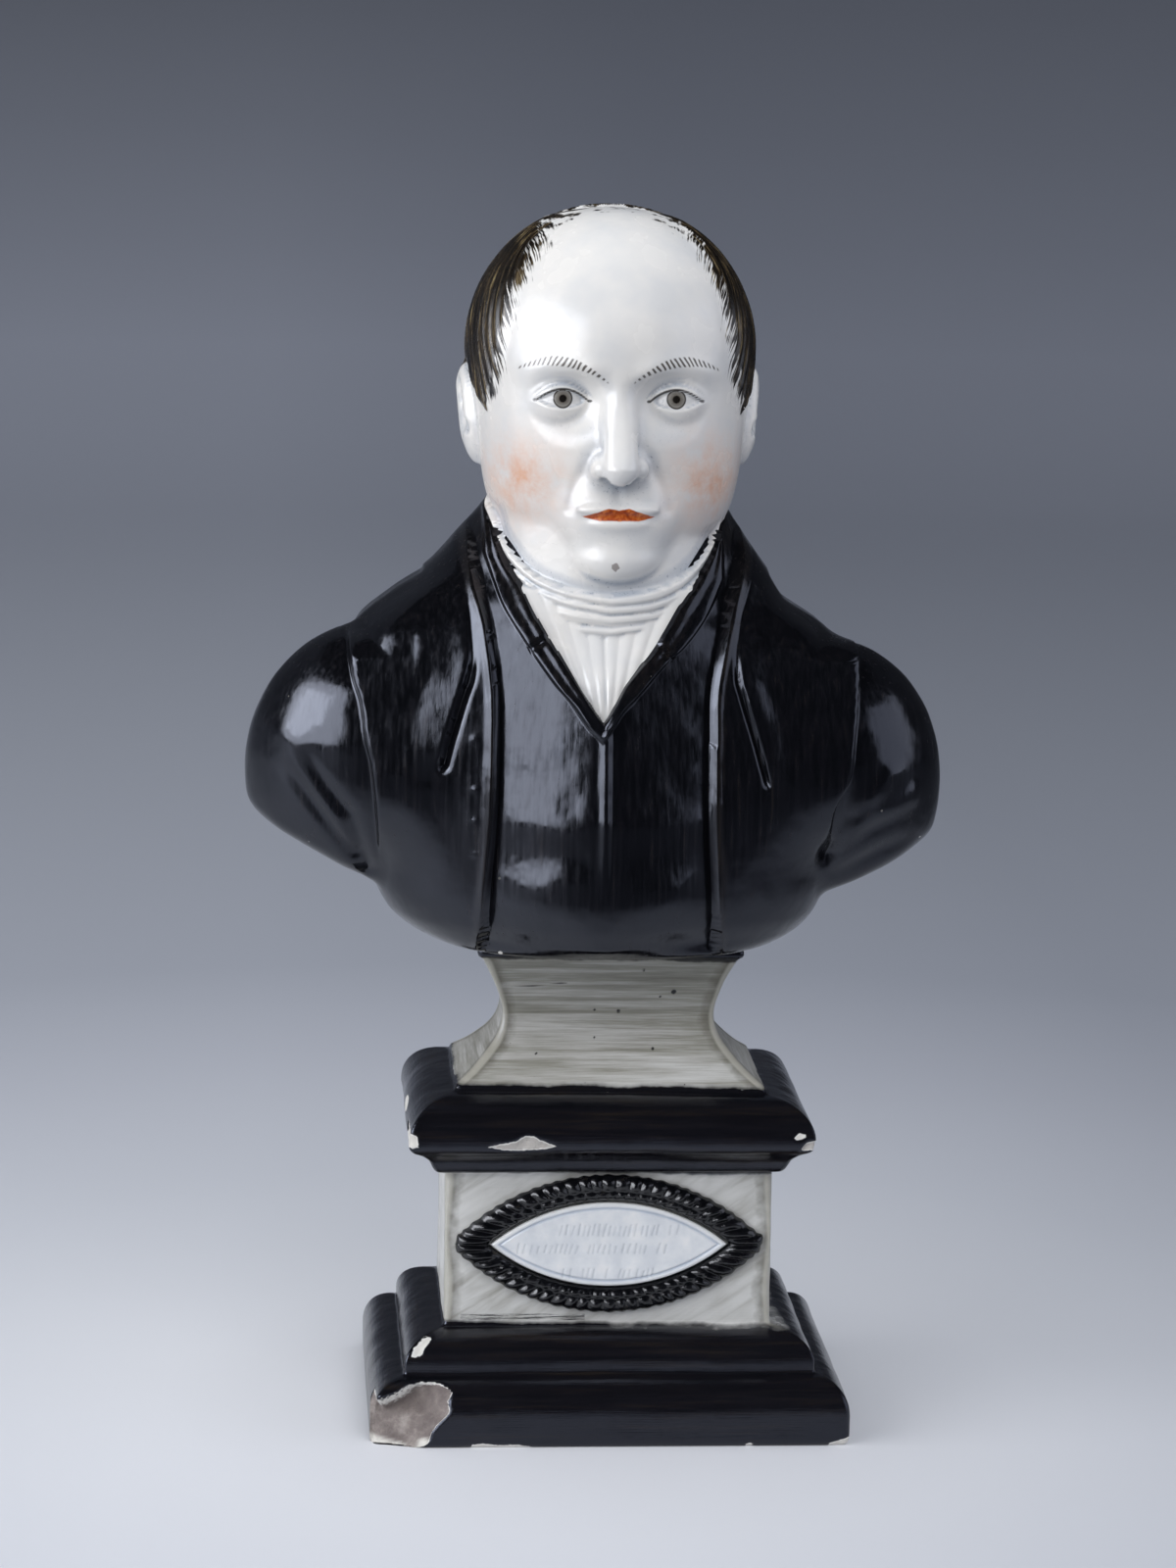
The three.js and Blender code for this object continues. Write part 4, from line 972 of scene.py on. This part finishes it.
def hung_height(x, y, z):
    """Height counted along the neckcloth's folds, which sag in front and rise beside the jaw."""
    return z - np.where(y < cravat_y, fold_rise(np.abs(x - cravat_x)), side_rise)


def cravat_folds(x, y, z):
    """Soft rolls, with a narrow valley between each and the next."""
    hung = hung_height(x, y, z)
    hung = hung + 0.45 * np.sin((x + 4) / 8 + 0.4 * hung)
    phase = np.interp(hung, fold_lines[::-1] + [240], [0, 1, 2, 3, 4, 5, 8.5])
    within = phase - np.floor(phase)
    roll = 0.85 * (1 - np.abs(2 * within - 1) ** 2.4) * ramp(208.6, 209.6, hung)
    return roll + 0.1 * np.sin(hung * 4.6 + 0.15 * x)


def shirt_front(x, y, z):
    """Pleats that run down to the point of the opening."""
    pleat = (x - closing_x) / np.maximum((z - opening_tip + 9) / 27, 0.2)
    fold = 0.4 * np.abs(np.sin(pleat * np.pi / 3.6 + 0.2)) ** 0.9
    middle = 0.35 * bump(pleat, 0.5) * ramp(opening_tip + 2, opening_tip + 6, z)
    opening = edge_slant * outside(opening_edges, x, z)
    rise = 0.8 * chest_rise(x, z) * ramp(214, 200, z) * ramp(2, -8, y)
    front = coat_with_sleeves(x, y, z) - rise + 1.5 - fold + middle
    return keep_both(front, opening - 1.2, 0.5)


def cravat(x, y, z):
    """The wound cloth, and the neck inside it up to the jaw."""
    around = ellipsoid(x - cravat_x, y - cravat_y, 0 * z, cravat_half_width, cravat_half_depth, 1000)
    around = around + 0.5
    neck = keep_both(around + 1.6, z - 246, 3)
    around = around - cravat_folds(x, y, z) * ramp(12, -6, y)
    hung = hung_height(x, y, z)
    cloth = keep_both(keep_both(around, hung - 223.6, 2.0), 208.4 - hung, 1.0)
    return join(cloth, keep_both(neck, 212 - hung, 1.0), 0.8)


def eyes(side, y, z):
    """An eyeball under two lids in each socket."""
    place = side - eye_spacing, y - eyeball_y, z - eye_height
    ball = ellipsoid(*place, eyeball_radius, eyeball_radius, eyeball_radius)
    across = (side - eye_spacing) / eye_half_width
    arch = np.maximum(1 - across**2, 0)
    open_above = z - eye_height - 2.7 * arch
    open_below = eye_height - 1.9 * arch - z
    lids = ellipsoid(*place, lid_radius, lid_radius, lid_half_height)
    lids = keep_both(lids, -np.maximum(open_above, open_below), 0.8)
    return ball, lids, np.maximum(open_above, open_below)


def nose(x, y, z):
    """A ridge that widens downward, with a wing on either side."""
    along = np.clip((eye_height + 4 - z) / (eye_height + 0.4 - nose_base), 0, 1)
    ridge_y = -31.5 - 9.3 * along  # from between the eyes to the tip
    ridge_half = 3.4 + 1.2 * along
    ridge_z = eye_height + 4 - (eye_height + 0.4 - nose_base) * along
    ridge = np.sqrt(x**2 + (y - ridge_y) ** 2 + ((z - ridge_z) * 0.95) ** 2) - ridge_half
    wing = ellipsoid(np.abs(x) - 4.7, y + 36.4, z - nose_base - 3.0, 3.2, 4.2, 3.1)
    return join(ridge, wing, 2.0)


def mouth(x, y, z):
    """Two lips on a low muzzle, with a groove between them and the nose."""
    muzzle = ellipsoid(x, y + 27, z - mouth_height - 0.4, 15, 9.6, 11.5)
    upper = ellipsoid(np.abs(x) - 3.2, y + 34.3, z - mouth_height - 1.6 + 0.03 * np.abs(x), 7.4, 3.0, 1.9)
    lower = ellipsoid(x, y + 34.1, z - mouth_height + 2.2, 7.8, 3.3, 2.2)
    under_nose = ramp(mouth_height + 2.5, mouth_height + 4.5, z) * ramp(nose_base, nose_base - 2, z)
    philtrum = bump(x, 1.3) * under_nose
    return join(muzzle, np.minimum(upper, lower), 0.9) + 0.45 * philtrum


def ear(side, y, z):
    """A shell with a hollow, a fold inside it and a notch in front."""
    lean = y - 4 - 0.2 * (z - 267)
    out = side - 35.8 - 0.11 * (z - 267)
    shell = ellipsoid(out, lean, z - 266.5, 4.2, 8.0, 13.2)
    bowl = ellipsoid(out - 4.6, lean + 1.6, z - 268.5, 3.4, 4.6, 8.4)
    shell = keep_both(shell, -bowl, 1.0)
    inner_fold = ellipsoid(out - 2.0, lean - 1.8, z - 269, 1.6, 1.4, 7.0)
    notch = ellipsoid(out - 3.9, lean + 5.6, z - 263.5, 2.6, 1.8, 2.4)
    return keep_both(join(shell, inner_fold, 1.0), -notch, 1.0)


def hair_place(x, y, z):
    """Distance inside the hair's edge, and places across and along the combed strands."""
    inside_arc = 31 - np.hypot(y - 8, z - 289)
    lower = np.interp(y, *zip((-22, 268), (-14, 268.5), (-8, 272), (-2, 277.5), (4, 279.5), (9, 276),
                              (15, 263), (26, 250), (45, 243)))
    edge = np.minimum(np.maximum(inside_arc, y - 8), z - lower)
    around = np.arctan2(np.abs(x), -(y - skull_y))
    fall = np.arctan2(np.hypot(x, y - skull_y), z - skull_height + 6)
    return edge, 37 * (around + 0.42 * fall * ramp(2.7, 1.3, around)), 38 * fall


def head_field(points):
    """The head, neckcloth and shirt front, as a distance to their surface."""
    x, y, z = points.T
    across = x - head_x
    side = np.abs(across)
    crown = head_top - skull_height
    skull = ellipsoid(across, y - skull_y, z - skull_height, skull_half_width, skull_half_depth, crown)
    jaw = ellipsoid(across, y + 4.5, z - 254, 33.4, 30, 31)
    chin = ellipsoid(across, y + 26, z - chin_height - 6.4, 11.5, 10.6, 7.4)
    face = join(join(skull, jaw, 14), chin, 9)
    brow_rise = brow_height + 0.6 - 0.012 * (side - eye_spacing) ** 2
    socket = ellipsoid(side - eye_spacing, y + 37.5, z - eye_height + 0.4, 11.5, 7.4, 8.2)
    face = keep_both(face, -socket, 5)
    face -= 0.9 * bump(z - brow_rise, 3) * ramp(30, 20, side) * ramp(2, 8, side) * ramp(-10, -20, y)
    ball, lids, _ = eyes(side, y, z)
    face = join(np.minimum(face, ball), lids, 1.1)
    lid_fold = z - eye_height - 4.6 * np.maximum(1 - ((side - eye_spacing) / 8.2) ** 2, 0)
    over_eye = ramp(8.2, 6, np.abs(side - eye_spacing)) * (z > eye_height) * ramp(-18, -24, y)
    face += 0.35 * bump(lid_fold, 0.5) * over_eye
    face = join(face, mouth(across, y, z), 4)
    face = join(face, nose(across, y, z), 3.0)
    nostril = ellipsoid(side - 3.6, y + 38.6, z - nose_base + 0.1, 1.5, 2.4, 1.1)
    face = keep_both(face, -nostril, 0.8)
    cheek_line = [(7.2, nose_base + 5), (10.6, nose_base - 1), (12.6, mouth_height + 1)]
    cheek_line = line_distance(side, z, cheek_line)
    face += 0.4 * bump(cheek_line, 1.5) * ramp(-22, -28, y)
    hair_edge, strand, combed = hair_place(across, y, z)
    locks = 0.45 * np.sin(strand * 1.9 + 0.9 * np.sin(combed * 0.21) + 0.05 * across)
    face -= ramp(-0.5, 2.6, hair_edge) * (1.0 + 0.55 * locks)
    face = join(face, ear(side, y, z), 1.2)
    face -= 0.15 * unevenness(points, 18, 61)
    neck = join(cravat(x, y, z), face, 0.7)
    return np.minimum(neck, shirt_front(x, y, z) + ramp(224, 232, z) * 40)


head_columns = 372
level_heights = np.linspace(187.5, skull_height - 0.4, 192)
crown_rises = np.linspace(0, np.pi / 2, 72)[:-1]
rises = np.concatenate([np.zeros(len(level_heights)), crown_rises])
heights = np.concatenate([level_heights, np.full(len(crown_rises), skull_height)])
upward = ramp(205, 235, heights)
centres = (coat_middle + (head_x - coat_middle) * upward, skull_y * upward)
spreads = np.interp(heights, [187, 205, 226], [14, 10, 0])
turns = np.tile(front_crowded(head_columns, 0.5), (len(heights), 1))
# Rings tilt with the folds round the neck, and level out above it.
cloth_x = np.minimum(cravat_half_width * np.abs(np.cos(turns)), 31)
tilt = np.where(np.sin(turns) < 0, fold_rise(cloth_x), side_rise)
starts = heights[:, None] + 0.95 * tilt * (1 - ramp(226, 282, heights))[:, None]
origins, directions = ring_rays(starts, rises, spreads, turns, centres)
head_surface = first_hit(head_field, origins, directions, 80)
head_rings = head_surface.reshape(len(heights), head_columns, 3)
x, y, z = head_surface.T
across, side = x - head_x, np.abs(x - head_x)
# How closed in each point is: it sets both the glaze that pools in hollows and the painted shade there.
pooled_glaze_and_shade = hollows(head_field, head_surface, 3.5)
hair_edge, strand, combed = hair_place(across, y, z)
hair_edge = np.where(z > 240, hair_edge, -20)
_, _, past_lid = eyes(side, y, z)
in_front = (y < -14) & (z > 236)
past_lid = np.where(in_front, past_lid, 20)
eye_across = (side - eye_spacing) / eye_half_width
past_corner = np.maximum(np.abs(eye_across) - 1.12, 0) * 6
above_lid = z - eye_height - 2.9 * np.maximum(1 - eye_across**2, -0.05)
upper_lid = np.where(in_front, np.hypot(past_corner, above_lid), 20)
iris = np.where(in_front & (past_lid < 0.25), np.hypot(side - eye_spacing, z - eye_height - 0.5), 20)
brow_along = (side - eye_spacing) * 1.02
brow_across = np.where(in_front, z - (brow_height + 2.4 - 0.030 * (side - eye_spacing - 2) ** 2), 20)
lip_line = mouth_height + 0.25 * np.cos(across * 0.45) - 0.0035 * across**2
lip_above = np.interp(np.abs(across), [0, 2.6, 6, 9.6], [1.2, 1.9, 1.1, 0.0])
lip_below = np.interp(np.abs(across), [0, 5, 9.6], [1.7, 1.2, 0.0])
lip_edge = np.where(in_front, np.minimum(lip_line + lip_above - z, z - lip_line + lip_below), -20)
lip_edge = np.where(np.abs(across) < 9.8, lip_edge, -20)
blush = np.exp(-(((side - 24) / 9) ** 2 + ((z - 252) / 10) ** 2)) * ramp(0, -12, y)
chin_chip = np.where(y < -20, np.hypot((x + 2.1) * 1.1, z - 231.2), 20)
head_facts = {
    "pooled_glaze_and_shade": (pooled_glaze_and_shade, 0), "blush": (blush, 0), "lip_edge": (lip_edge, -20), "iris": (iris, 20),
    "upper_lid": (upper_lid, 20), "brow_along": (brow_along, 40), "brow_across": (brow_across, 20),
    "hair_edge": (hair_edge, 30), "strand": (strand, 0), "combed": (combed, 0),
    "chin_chip": (chin_chip, 20),
}

# Pearlware glaze with enamel colours: a cold glossy white that turns blue-grey where the glaze pools in
# hollows, and is darkened further there as painted shade, with brushed hair, hatched brows, a dark lid line,
# flesh on the cheeks and iron red on the lips.
head_glaze, tree = start_material("painted_pearlware")
mm = add_node("VectorMath", [add_node("TexCoord", output="Object"), 1000.0], operation="SCALE")
fact = {name: add_node("Attribute", output="Fac", attribute_name=name) for name in head_facts}
cloud = add_node("TexNoise", [mm, 0.08, 3.0])
white = add_node("ValToRGB", [cloud], stops=[(0.35, "#e4e4e2"), (0.6, "#eeece7")])
# Hollows turn blue-grey: partly because the glaze pools there, partly as painted shade.
pooled_glaze_and_shade_share = add_node("MapRange", [fact["pooled_glaze_and_shade"], 0.12, 0.75, 0.0, 0.75])
grime = add_node("TexNoise", [mm, 1.3, 2.0])
grime_pick = add_node("MapRange", [grime, 0.62, 0.72])
grime_share = add_node("Math", [grime_pick, pooled_glaze_and_shade_share], operation="MULTIPLY")
flush_noise = add_node("TexNoise", [mm, 0.16, 4.0, 0.65])
flush_broken = add_node("MapRange", [flush_noise, 0.32, 0.66, 0.15, 0.85])
flush_share = add_node("Math", [fact["blush"], flush_broken], operation="MULTIPLY")
lip_noise = add_node("TexNoise", [mm, 0.9, 3.0])
lip_ragged = add_node("Math", [lip_noise, 0.3, fact["lip_edge"]], operation="MULTIPLY_ADD")
is_lip = add_node("MapRange", [lip_ragged, 0.10, 0.35])
lip_colour = add_node("ValToRGB", [lip_noise], stops=[
    (0.35, "#8f3a14"), (0.5, "#b8531d"), (0.68, "#cf7a3a")])
iris_share = add_node("Math", [fact["iris"], 4.0], operation="DIVIDE")
iris_colour = add_node("ValToRGB", [iris_share], stops=[
    (0.22, "#17130f"), (0.28, "#6f6a62"), (0.50, "#8d8a84"), (0.56, "#3b3630"), (0.60, "#3b3630"),
    (0.66, "#e6e7e8")])
is_iris = add_node("Math", [fact["iris"], 2.65], operation="LESS_THAN")
is_lid = add_node("MapRange", [fact["upper_lid"], 0.22, 0.5, 0.92, 0.0])

# Brows: short slanting strokes, side by side, under a soft arch.
slanted = add_node("Math", [fact["brow_across"], 0.55, fact["brow_along"]], operation="MULTIPLY_ADD")
hatch_noise = add_node("TexNoise", [mm, 0.3, 1.0])
hatch_shift = add_node("Math", [hatch_noise, 0.9, slanted], operation="MULTIPLY_ADD")
hatch_wave = add_node("Math", [hatch_shift, 5.0], operation="MULTIPLY")
hatch = add_node("Math", [hatch_wave], operation="SINE")
is_hatch = add_node("MapRange", [hatch, -0.05, 0.45])
brow_high = add_node("Math", [fact["brow_across"]], operation="ABSOLUTE")
brow_long = add_node("Math", [fact["brow_along"]], operation="ABSOLUTE")
brow_taper = add_node("MapRange", [brow_long, 3.0, 12.0, 1.45, 0.35])
brow_room = add_node("Math", [brow_taper, brow_high], operation="SUBTRACT")
in_brow = add_node("MapRange", [brow_room, 0.0, 0.4])
brow_end = add_node("MapRange", [brow_long, 11.0, 11.8, 1.0, 0.0])
in_brow = add_node("Math", [in_brow, brow_end], operation="MULTIPLY")
brow_share = add_node("Math", [in_brow, is_hatch], operation="MULTIPLY")
brow_share = add_node("Math", [brow_share, 0.92], operation="MULTIPLY")

# Hair: strands a millimetre wide, combed from the crown, that end in separate brush strokes.
head_place = add_node("SeparateXYZ", [mm])
strand_place = add_node("CombineXYZ", [fact["strand"], fact["combed"], head_place])
strand_scaled = add_node("VectorMath", [strand_place, (0.85, 0.07, 0.12)], operation="MULTIPLY")
strand_noise = add_node("TexNoise", [strand_scaled, 1.0, 5.0, 0.68])
fringe_along = add_node("Math", [fact["hair_edge"], 2.2, fact["combed"]], operation="MULTIPLY_ADD")
fringe_place = add_node("CombineXYZ", [fringe_along, fact["hair_edge"]])
fringe_scaled = add_node("VectorMath", [fringe_place, (1.0, 0.2, 1.0)], operation="MULTIPLY")
fringe_noise = add_node("TexNoise", [fringe_scaled, 1.0, 2.0, 0.6])
fringe_tufts = add_node("TexNoise", [mm, 0.22, 2.0])
near_crown = add_node("MapRange", [fact["combed"], 10.0, 26.0, 1.0, 0.3])
fringe_mixed = add_node("Mix", [near_crown, fringe_noise, fringe_tufts], data_type="FLOAT")
edge_frayed = add_node("MapRange", [fringe_mixed, 0.34, 0.66, -2.9, 2.3])
edge_total = add_node("Math", [fact["hair_edge"], edge_frayed], operation="ADD")
is_hair = add_node("MapRange", [edge_total, -0.3, 0.9])
hair_colour = add_node("ValToRGB", [strand_noise], stops=[
    (0.31, "#a3966e"), (0.39, "#5e5038"), (0.47, "#292116"), (0.58, "#110e0a")])
chip_ragged = add_node("Math", [lip_noise, 1.6, fact["chin_chip"]], operation="MULTIPLY_ADD")
is_chip = add_node("MapRange", [chip_ragged, 1.75, 1.9, 0.9, 0.0])
is_fleck = specks(0.17, 0.8, 0.04)
fleck_share = add_node("Math", [is_fleck, 0.5], operation="MULTIPLY")

# Each paint lies over the ones before it.
colour = white
for share, paint in ((pooled_glaze_and_shade_share, "#a1abb8"), (grime_share, "#5d6b7c"), (flush_share, "#e0a57f"),
                     (is_lip, lip_colour), (is_iris, iris_colour), (is_lid, "#2c261f"),
                     (brow_share, "#3d3327"), (is_hair, hair_colour), (is_chip, "#968f8b"),
                     (fleck_share, "#8b8f96")):
    colour = add_node("Mix", [share, colour, paint], data_type="RGBA")

roughness = add_node("MapRange", [cloud, 0.3, 0.7, 0.2, 0.3])
orange_peel = add_node("TexNoise", [mm, 0.3, 1.5])
peel_bump = add_node("Bump", {"Strength": 0.25, "Distance": 0.0004, "Height": orange_peel})
stroke_share = add_node("Math", [is_hair, 0.5], operation="MULTIPLY")
stroke_bump = add_node("Bump", {
    "Strength": stroke_share, "Distance": 0.0003, "Height": strand_noise, "Normal": peel_bump})
shader = add_node("BsdfPrincipled", {
    "Base Color": colour, "Roughness": roughness, "IOR": lead_glaze_ior, "Normal": stroke_bump})
add_node("OutputMaterial", [shader])

add_piece("head_and_neckcloth", with_ends(head_rings), tube_faces(len(heights), head_columns),
          head_facts, head_glaze, ["bust"])


# Studio
# A pale floor that turns up into a grey sweep all round, a large soft lamp on the left, a
# weaker one on the right, and the camera that the photograph was taken with.

floor_radius, sweep_radius, wall_top = 2.0, 1.0, 3.2
wall_radius = floor_radius + sweep_radius
floor_rings = [(radius, 0.0) for radius in (0.02, 0.2, 0.4, 0.7, 1.0, 1.4, 1.8)]
for angle in np.linspace(0, np.pi / 2, 12):
    reach, rise = sweep_radius * math.sin(angle), sweep_radius * (1 - math.cos(angle))
    floor_rings.append((floor_radius + reach, rise))
floor_rings += [(wall_radius, 2.0), (wall_radius, wall_top)]
turn = np.linspace(0, 2 * np.pi, 97)[:-1]
round_about = [[r * math.cos(a), r * math.sin(a), h] for r, h in floor_rings for a in turn]
studio_points = np.array(round_about + [[0, 0, 0], [0, 0, wall_top]])
floor_middle = len(studio_points) - 2
studio_mesh = bpy.data.meshes.new("floor_and_sweep")
all_faces = tube_faces(len(floor_rings), len(turn))
studio_faces = [face for face in all_faces if len(face) == 4 or face[0] == floor_middle]
studio_mesh.from_pydata(studio_points.tolist(), [], studio_faces)
studio_mesh.shade_smooth()
studio = bpy.data.objects.new("floor_and_sweep", studio_mesh)
add_to_scene(studio)

# Matt paper, painted pale near the object and greyer away from it as painted light falloff, so the background
# is a soft gradient, and dimmer to the right as painted shade.
paper, tree = start_material("background_paper")
place = add_node("TexCoord", output="Object")
far = add_node("VectorMath", [place], operation="LENGTH")
far_share = add_node("Math", [far, wall_radius], operation="DIVIDE")
painted_light_falloff = add_node("ValToRGB", [far_share], stops=[
    (0.0, "#f0f1f4"), (0.04, "#e9ebef"), (0.08, "#d3d6dc"), (0.13, "#c0c3cb"), (0.18, "#aeb2bb"),
    (0.35, "#abafb8"), (0.8, "#9fa3af"), (0.95, "#686c76")])
x_m, y_m, _ = add_node("SeparateXYZ", [place]).node.outputs
# Painted shade in front of the object and to its right, used only on the copy of the paper that the glaze
# mirrors.
dark_share = add_node("MapRange", [y_m, -0.35, -0.165, 0.94, 0.0])
# Painted shade on the right of the paper, stronger farther back.
farther = add_node("MapRange", [y_m, -0.3, 0.35, 0.75, 1.3])
to_right = add_node("Math", [x_m, farther], operation="MULTIPLY")
shade_share = add_node("MapRange", [to_right, -0.12, 0.3, 0.0, 0.32])
past_sheet = add_node("Math", [y_m, -0.15, x_m], operation="MULTIPLY_ADD")
side_share = add_node("MapRange", [past_sheet, 0.26, 0.42, 0.0, 0.85])
darker = add_node("Math", [dark_share, side_share], operation="MAXIMUM")
is_paper_seen_in_glaze = add_node("ObjectInfo", output="Object Index")
darker = add_node("Math", [darker, is_paper_seen_in_glaze], operation="MULTIPLY")

# Each paint lies over the ones before it.
colour = painted_light_falloff
for share, paint in ((shade_share, "#5e6370"), (darker, "#30333b")):
    colour = add_node("Mix", [share, colour, paint], data_type="RGBA")

paper_grain = add_node("TexNoise", [place, 900.0])
paper_bump = add_node("Bump", {"Strength": 0.1, "Distance": 0.0002, "Height": paper_grain})
shader = add_node("BsdfPrincipled", {
    "Base Color": colour, "Roughness": 0.6, "Normal": paper_bump})
add_node("OutputMaterial", [shader])
studio_mesh.materials.append(paper)

# The glaze mirrors a copy of the paper that the camera doesn't see, with painted shade in front of it and to
# its right, which only the reflections show.
paper_seen_in_glaze = studio.copy()
paper_seen_in_glaze.name = "table_round_the_paper"
paper_seen_in_glaze.pass_index = 1
paper_seen_in_glaze.location.z = -0.0005  # a hair lower and larger, so that the two sheets share no face
paper_seen_in_glaze.scale = (1.001, 1.001, 1.001)
paper_seen_in_glaze.visible_camera = False
studio.visible_diffuse = studio.visible_glossy = studio.visible_shadow = False
add_to_scene(paper_seen_in_glaze)

world = bpy.data.worlds.new("studio_air")
bpy.context.scene.world = world
world.use_nodes = True
air = world.node_tree.nodes["Background"]
air.inputs["Color"].default_value = linear("#e9edf4")
air.inputs["Strength"].default_value = 1.2
world.cycles_visibility.glossy = False

# The softboxes and the fill light the clay. The left one and the fill don't show in the glaze,
# where two windows in the left one's place show instead and light nothing else.
lamp_target = Vector((0, 0, 0.19))
for name, azimuth, elevation, distance, width, height, watts, colour in (
        ("left_softbox", -62, 17, 1.36, 1.50, 1.00, 14.5, "#fcfcff"),
        ("left_window", -62, 17, 1.30, 1.50, 1.00, 25.0, "#f4f7ff"),
        ("left_window_middle", -66, 20, 1.26, 0.75, 0.50, 5.0, "#f4f7ff"),
        ("right_softbox", 75, 14, 1.4, 1.22, 0.95, 4.4, "#e8edff"),
        ("front_fill", 14, 40, 1.6, 1.2, 1.0, 9.0, "#fbfbff")):
    a, e = math.radians(azimuth), math.radians(elevation)
    back = Vector((math.sin(a) * math.cos(e), -math.cos(a) * math.cos(e), math.sin(e)))
    lamp_data = bpy.data.lights.new(name, "AREA")
    lamp_data.shape = "RECTANGLE"
    lamp_data.size, lamp_data.size_y = width, height
    lamp_data.energy = watts
    lamp_data.color = linear(colour)[:3]
    lamp = bpy.data.objects.new(name, lamp_data)
    lamp.location = lamp_target + back * distance
    lamp.rotation_mode = "QUATERNION"
    lamp.rotation_quaternion = (-back).to_track_quat("-Z", "Y")
    lamp.visible_camera = False
    lamp.visible_diffuse = "window" not in name
    lamp.visible_glossy = name not in ("left_softbox", "front_fill")
    add_to_scene(lamp)

# The camera stands a little to the left and above, and leans by a degree.
frame_height, focal_length = 1600, 4637.0  # both in the photograph's pixels
sensor = 36.0
camera_distance, looks_at = 1.206, Vector((-0.00561, 0, 0.16833))
azimuth, pitch, roll = math.radians(-4.13), math.radians(10.24), math.radians(0.97)
level_back = Vector((math.sin(azimuth), -math.cos(azimuth), 0))
back = level_back * math.cos(pitch) + Vector((0, 0, math.sin(pitch)))
right = Vector((math.cos(azimuth), math.sin(azimuth), 0))
up = back.cross(right)
right, up = (math.cos(roll) * right + math.sin(roll) * up,
             -math.sin(roll) * right + math.cos(roll) * up)
camera_data = bpy.data.cameras.new("camera")
camera_data.sensor_width = sensor
camera_data.lens = focal_length / frame_height * sensor
camera_data.clip_start, camera_data.clip_end = 0.05, 20
camera = bpy.data.objects.new("camera", camera_data)
camera.matrix_world = Matrix([right, up, back]).transposed().to_4x4()
camera.location = looks_at + back * camera_distance
add_to_scene(camera)
bpy.context.scene.camera = camera
bpy.context.scene.view_settings.view_transform = "Standard"
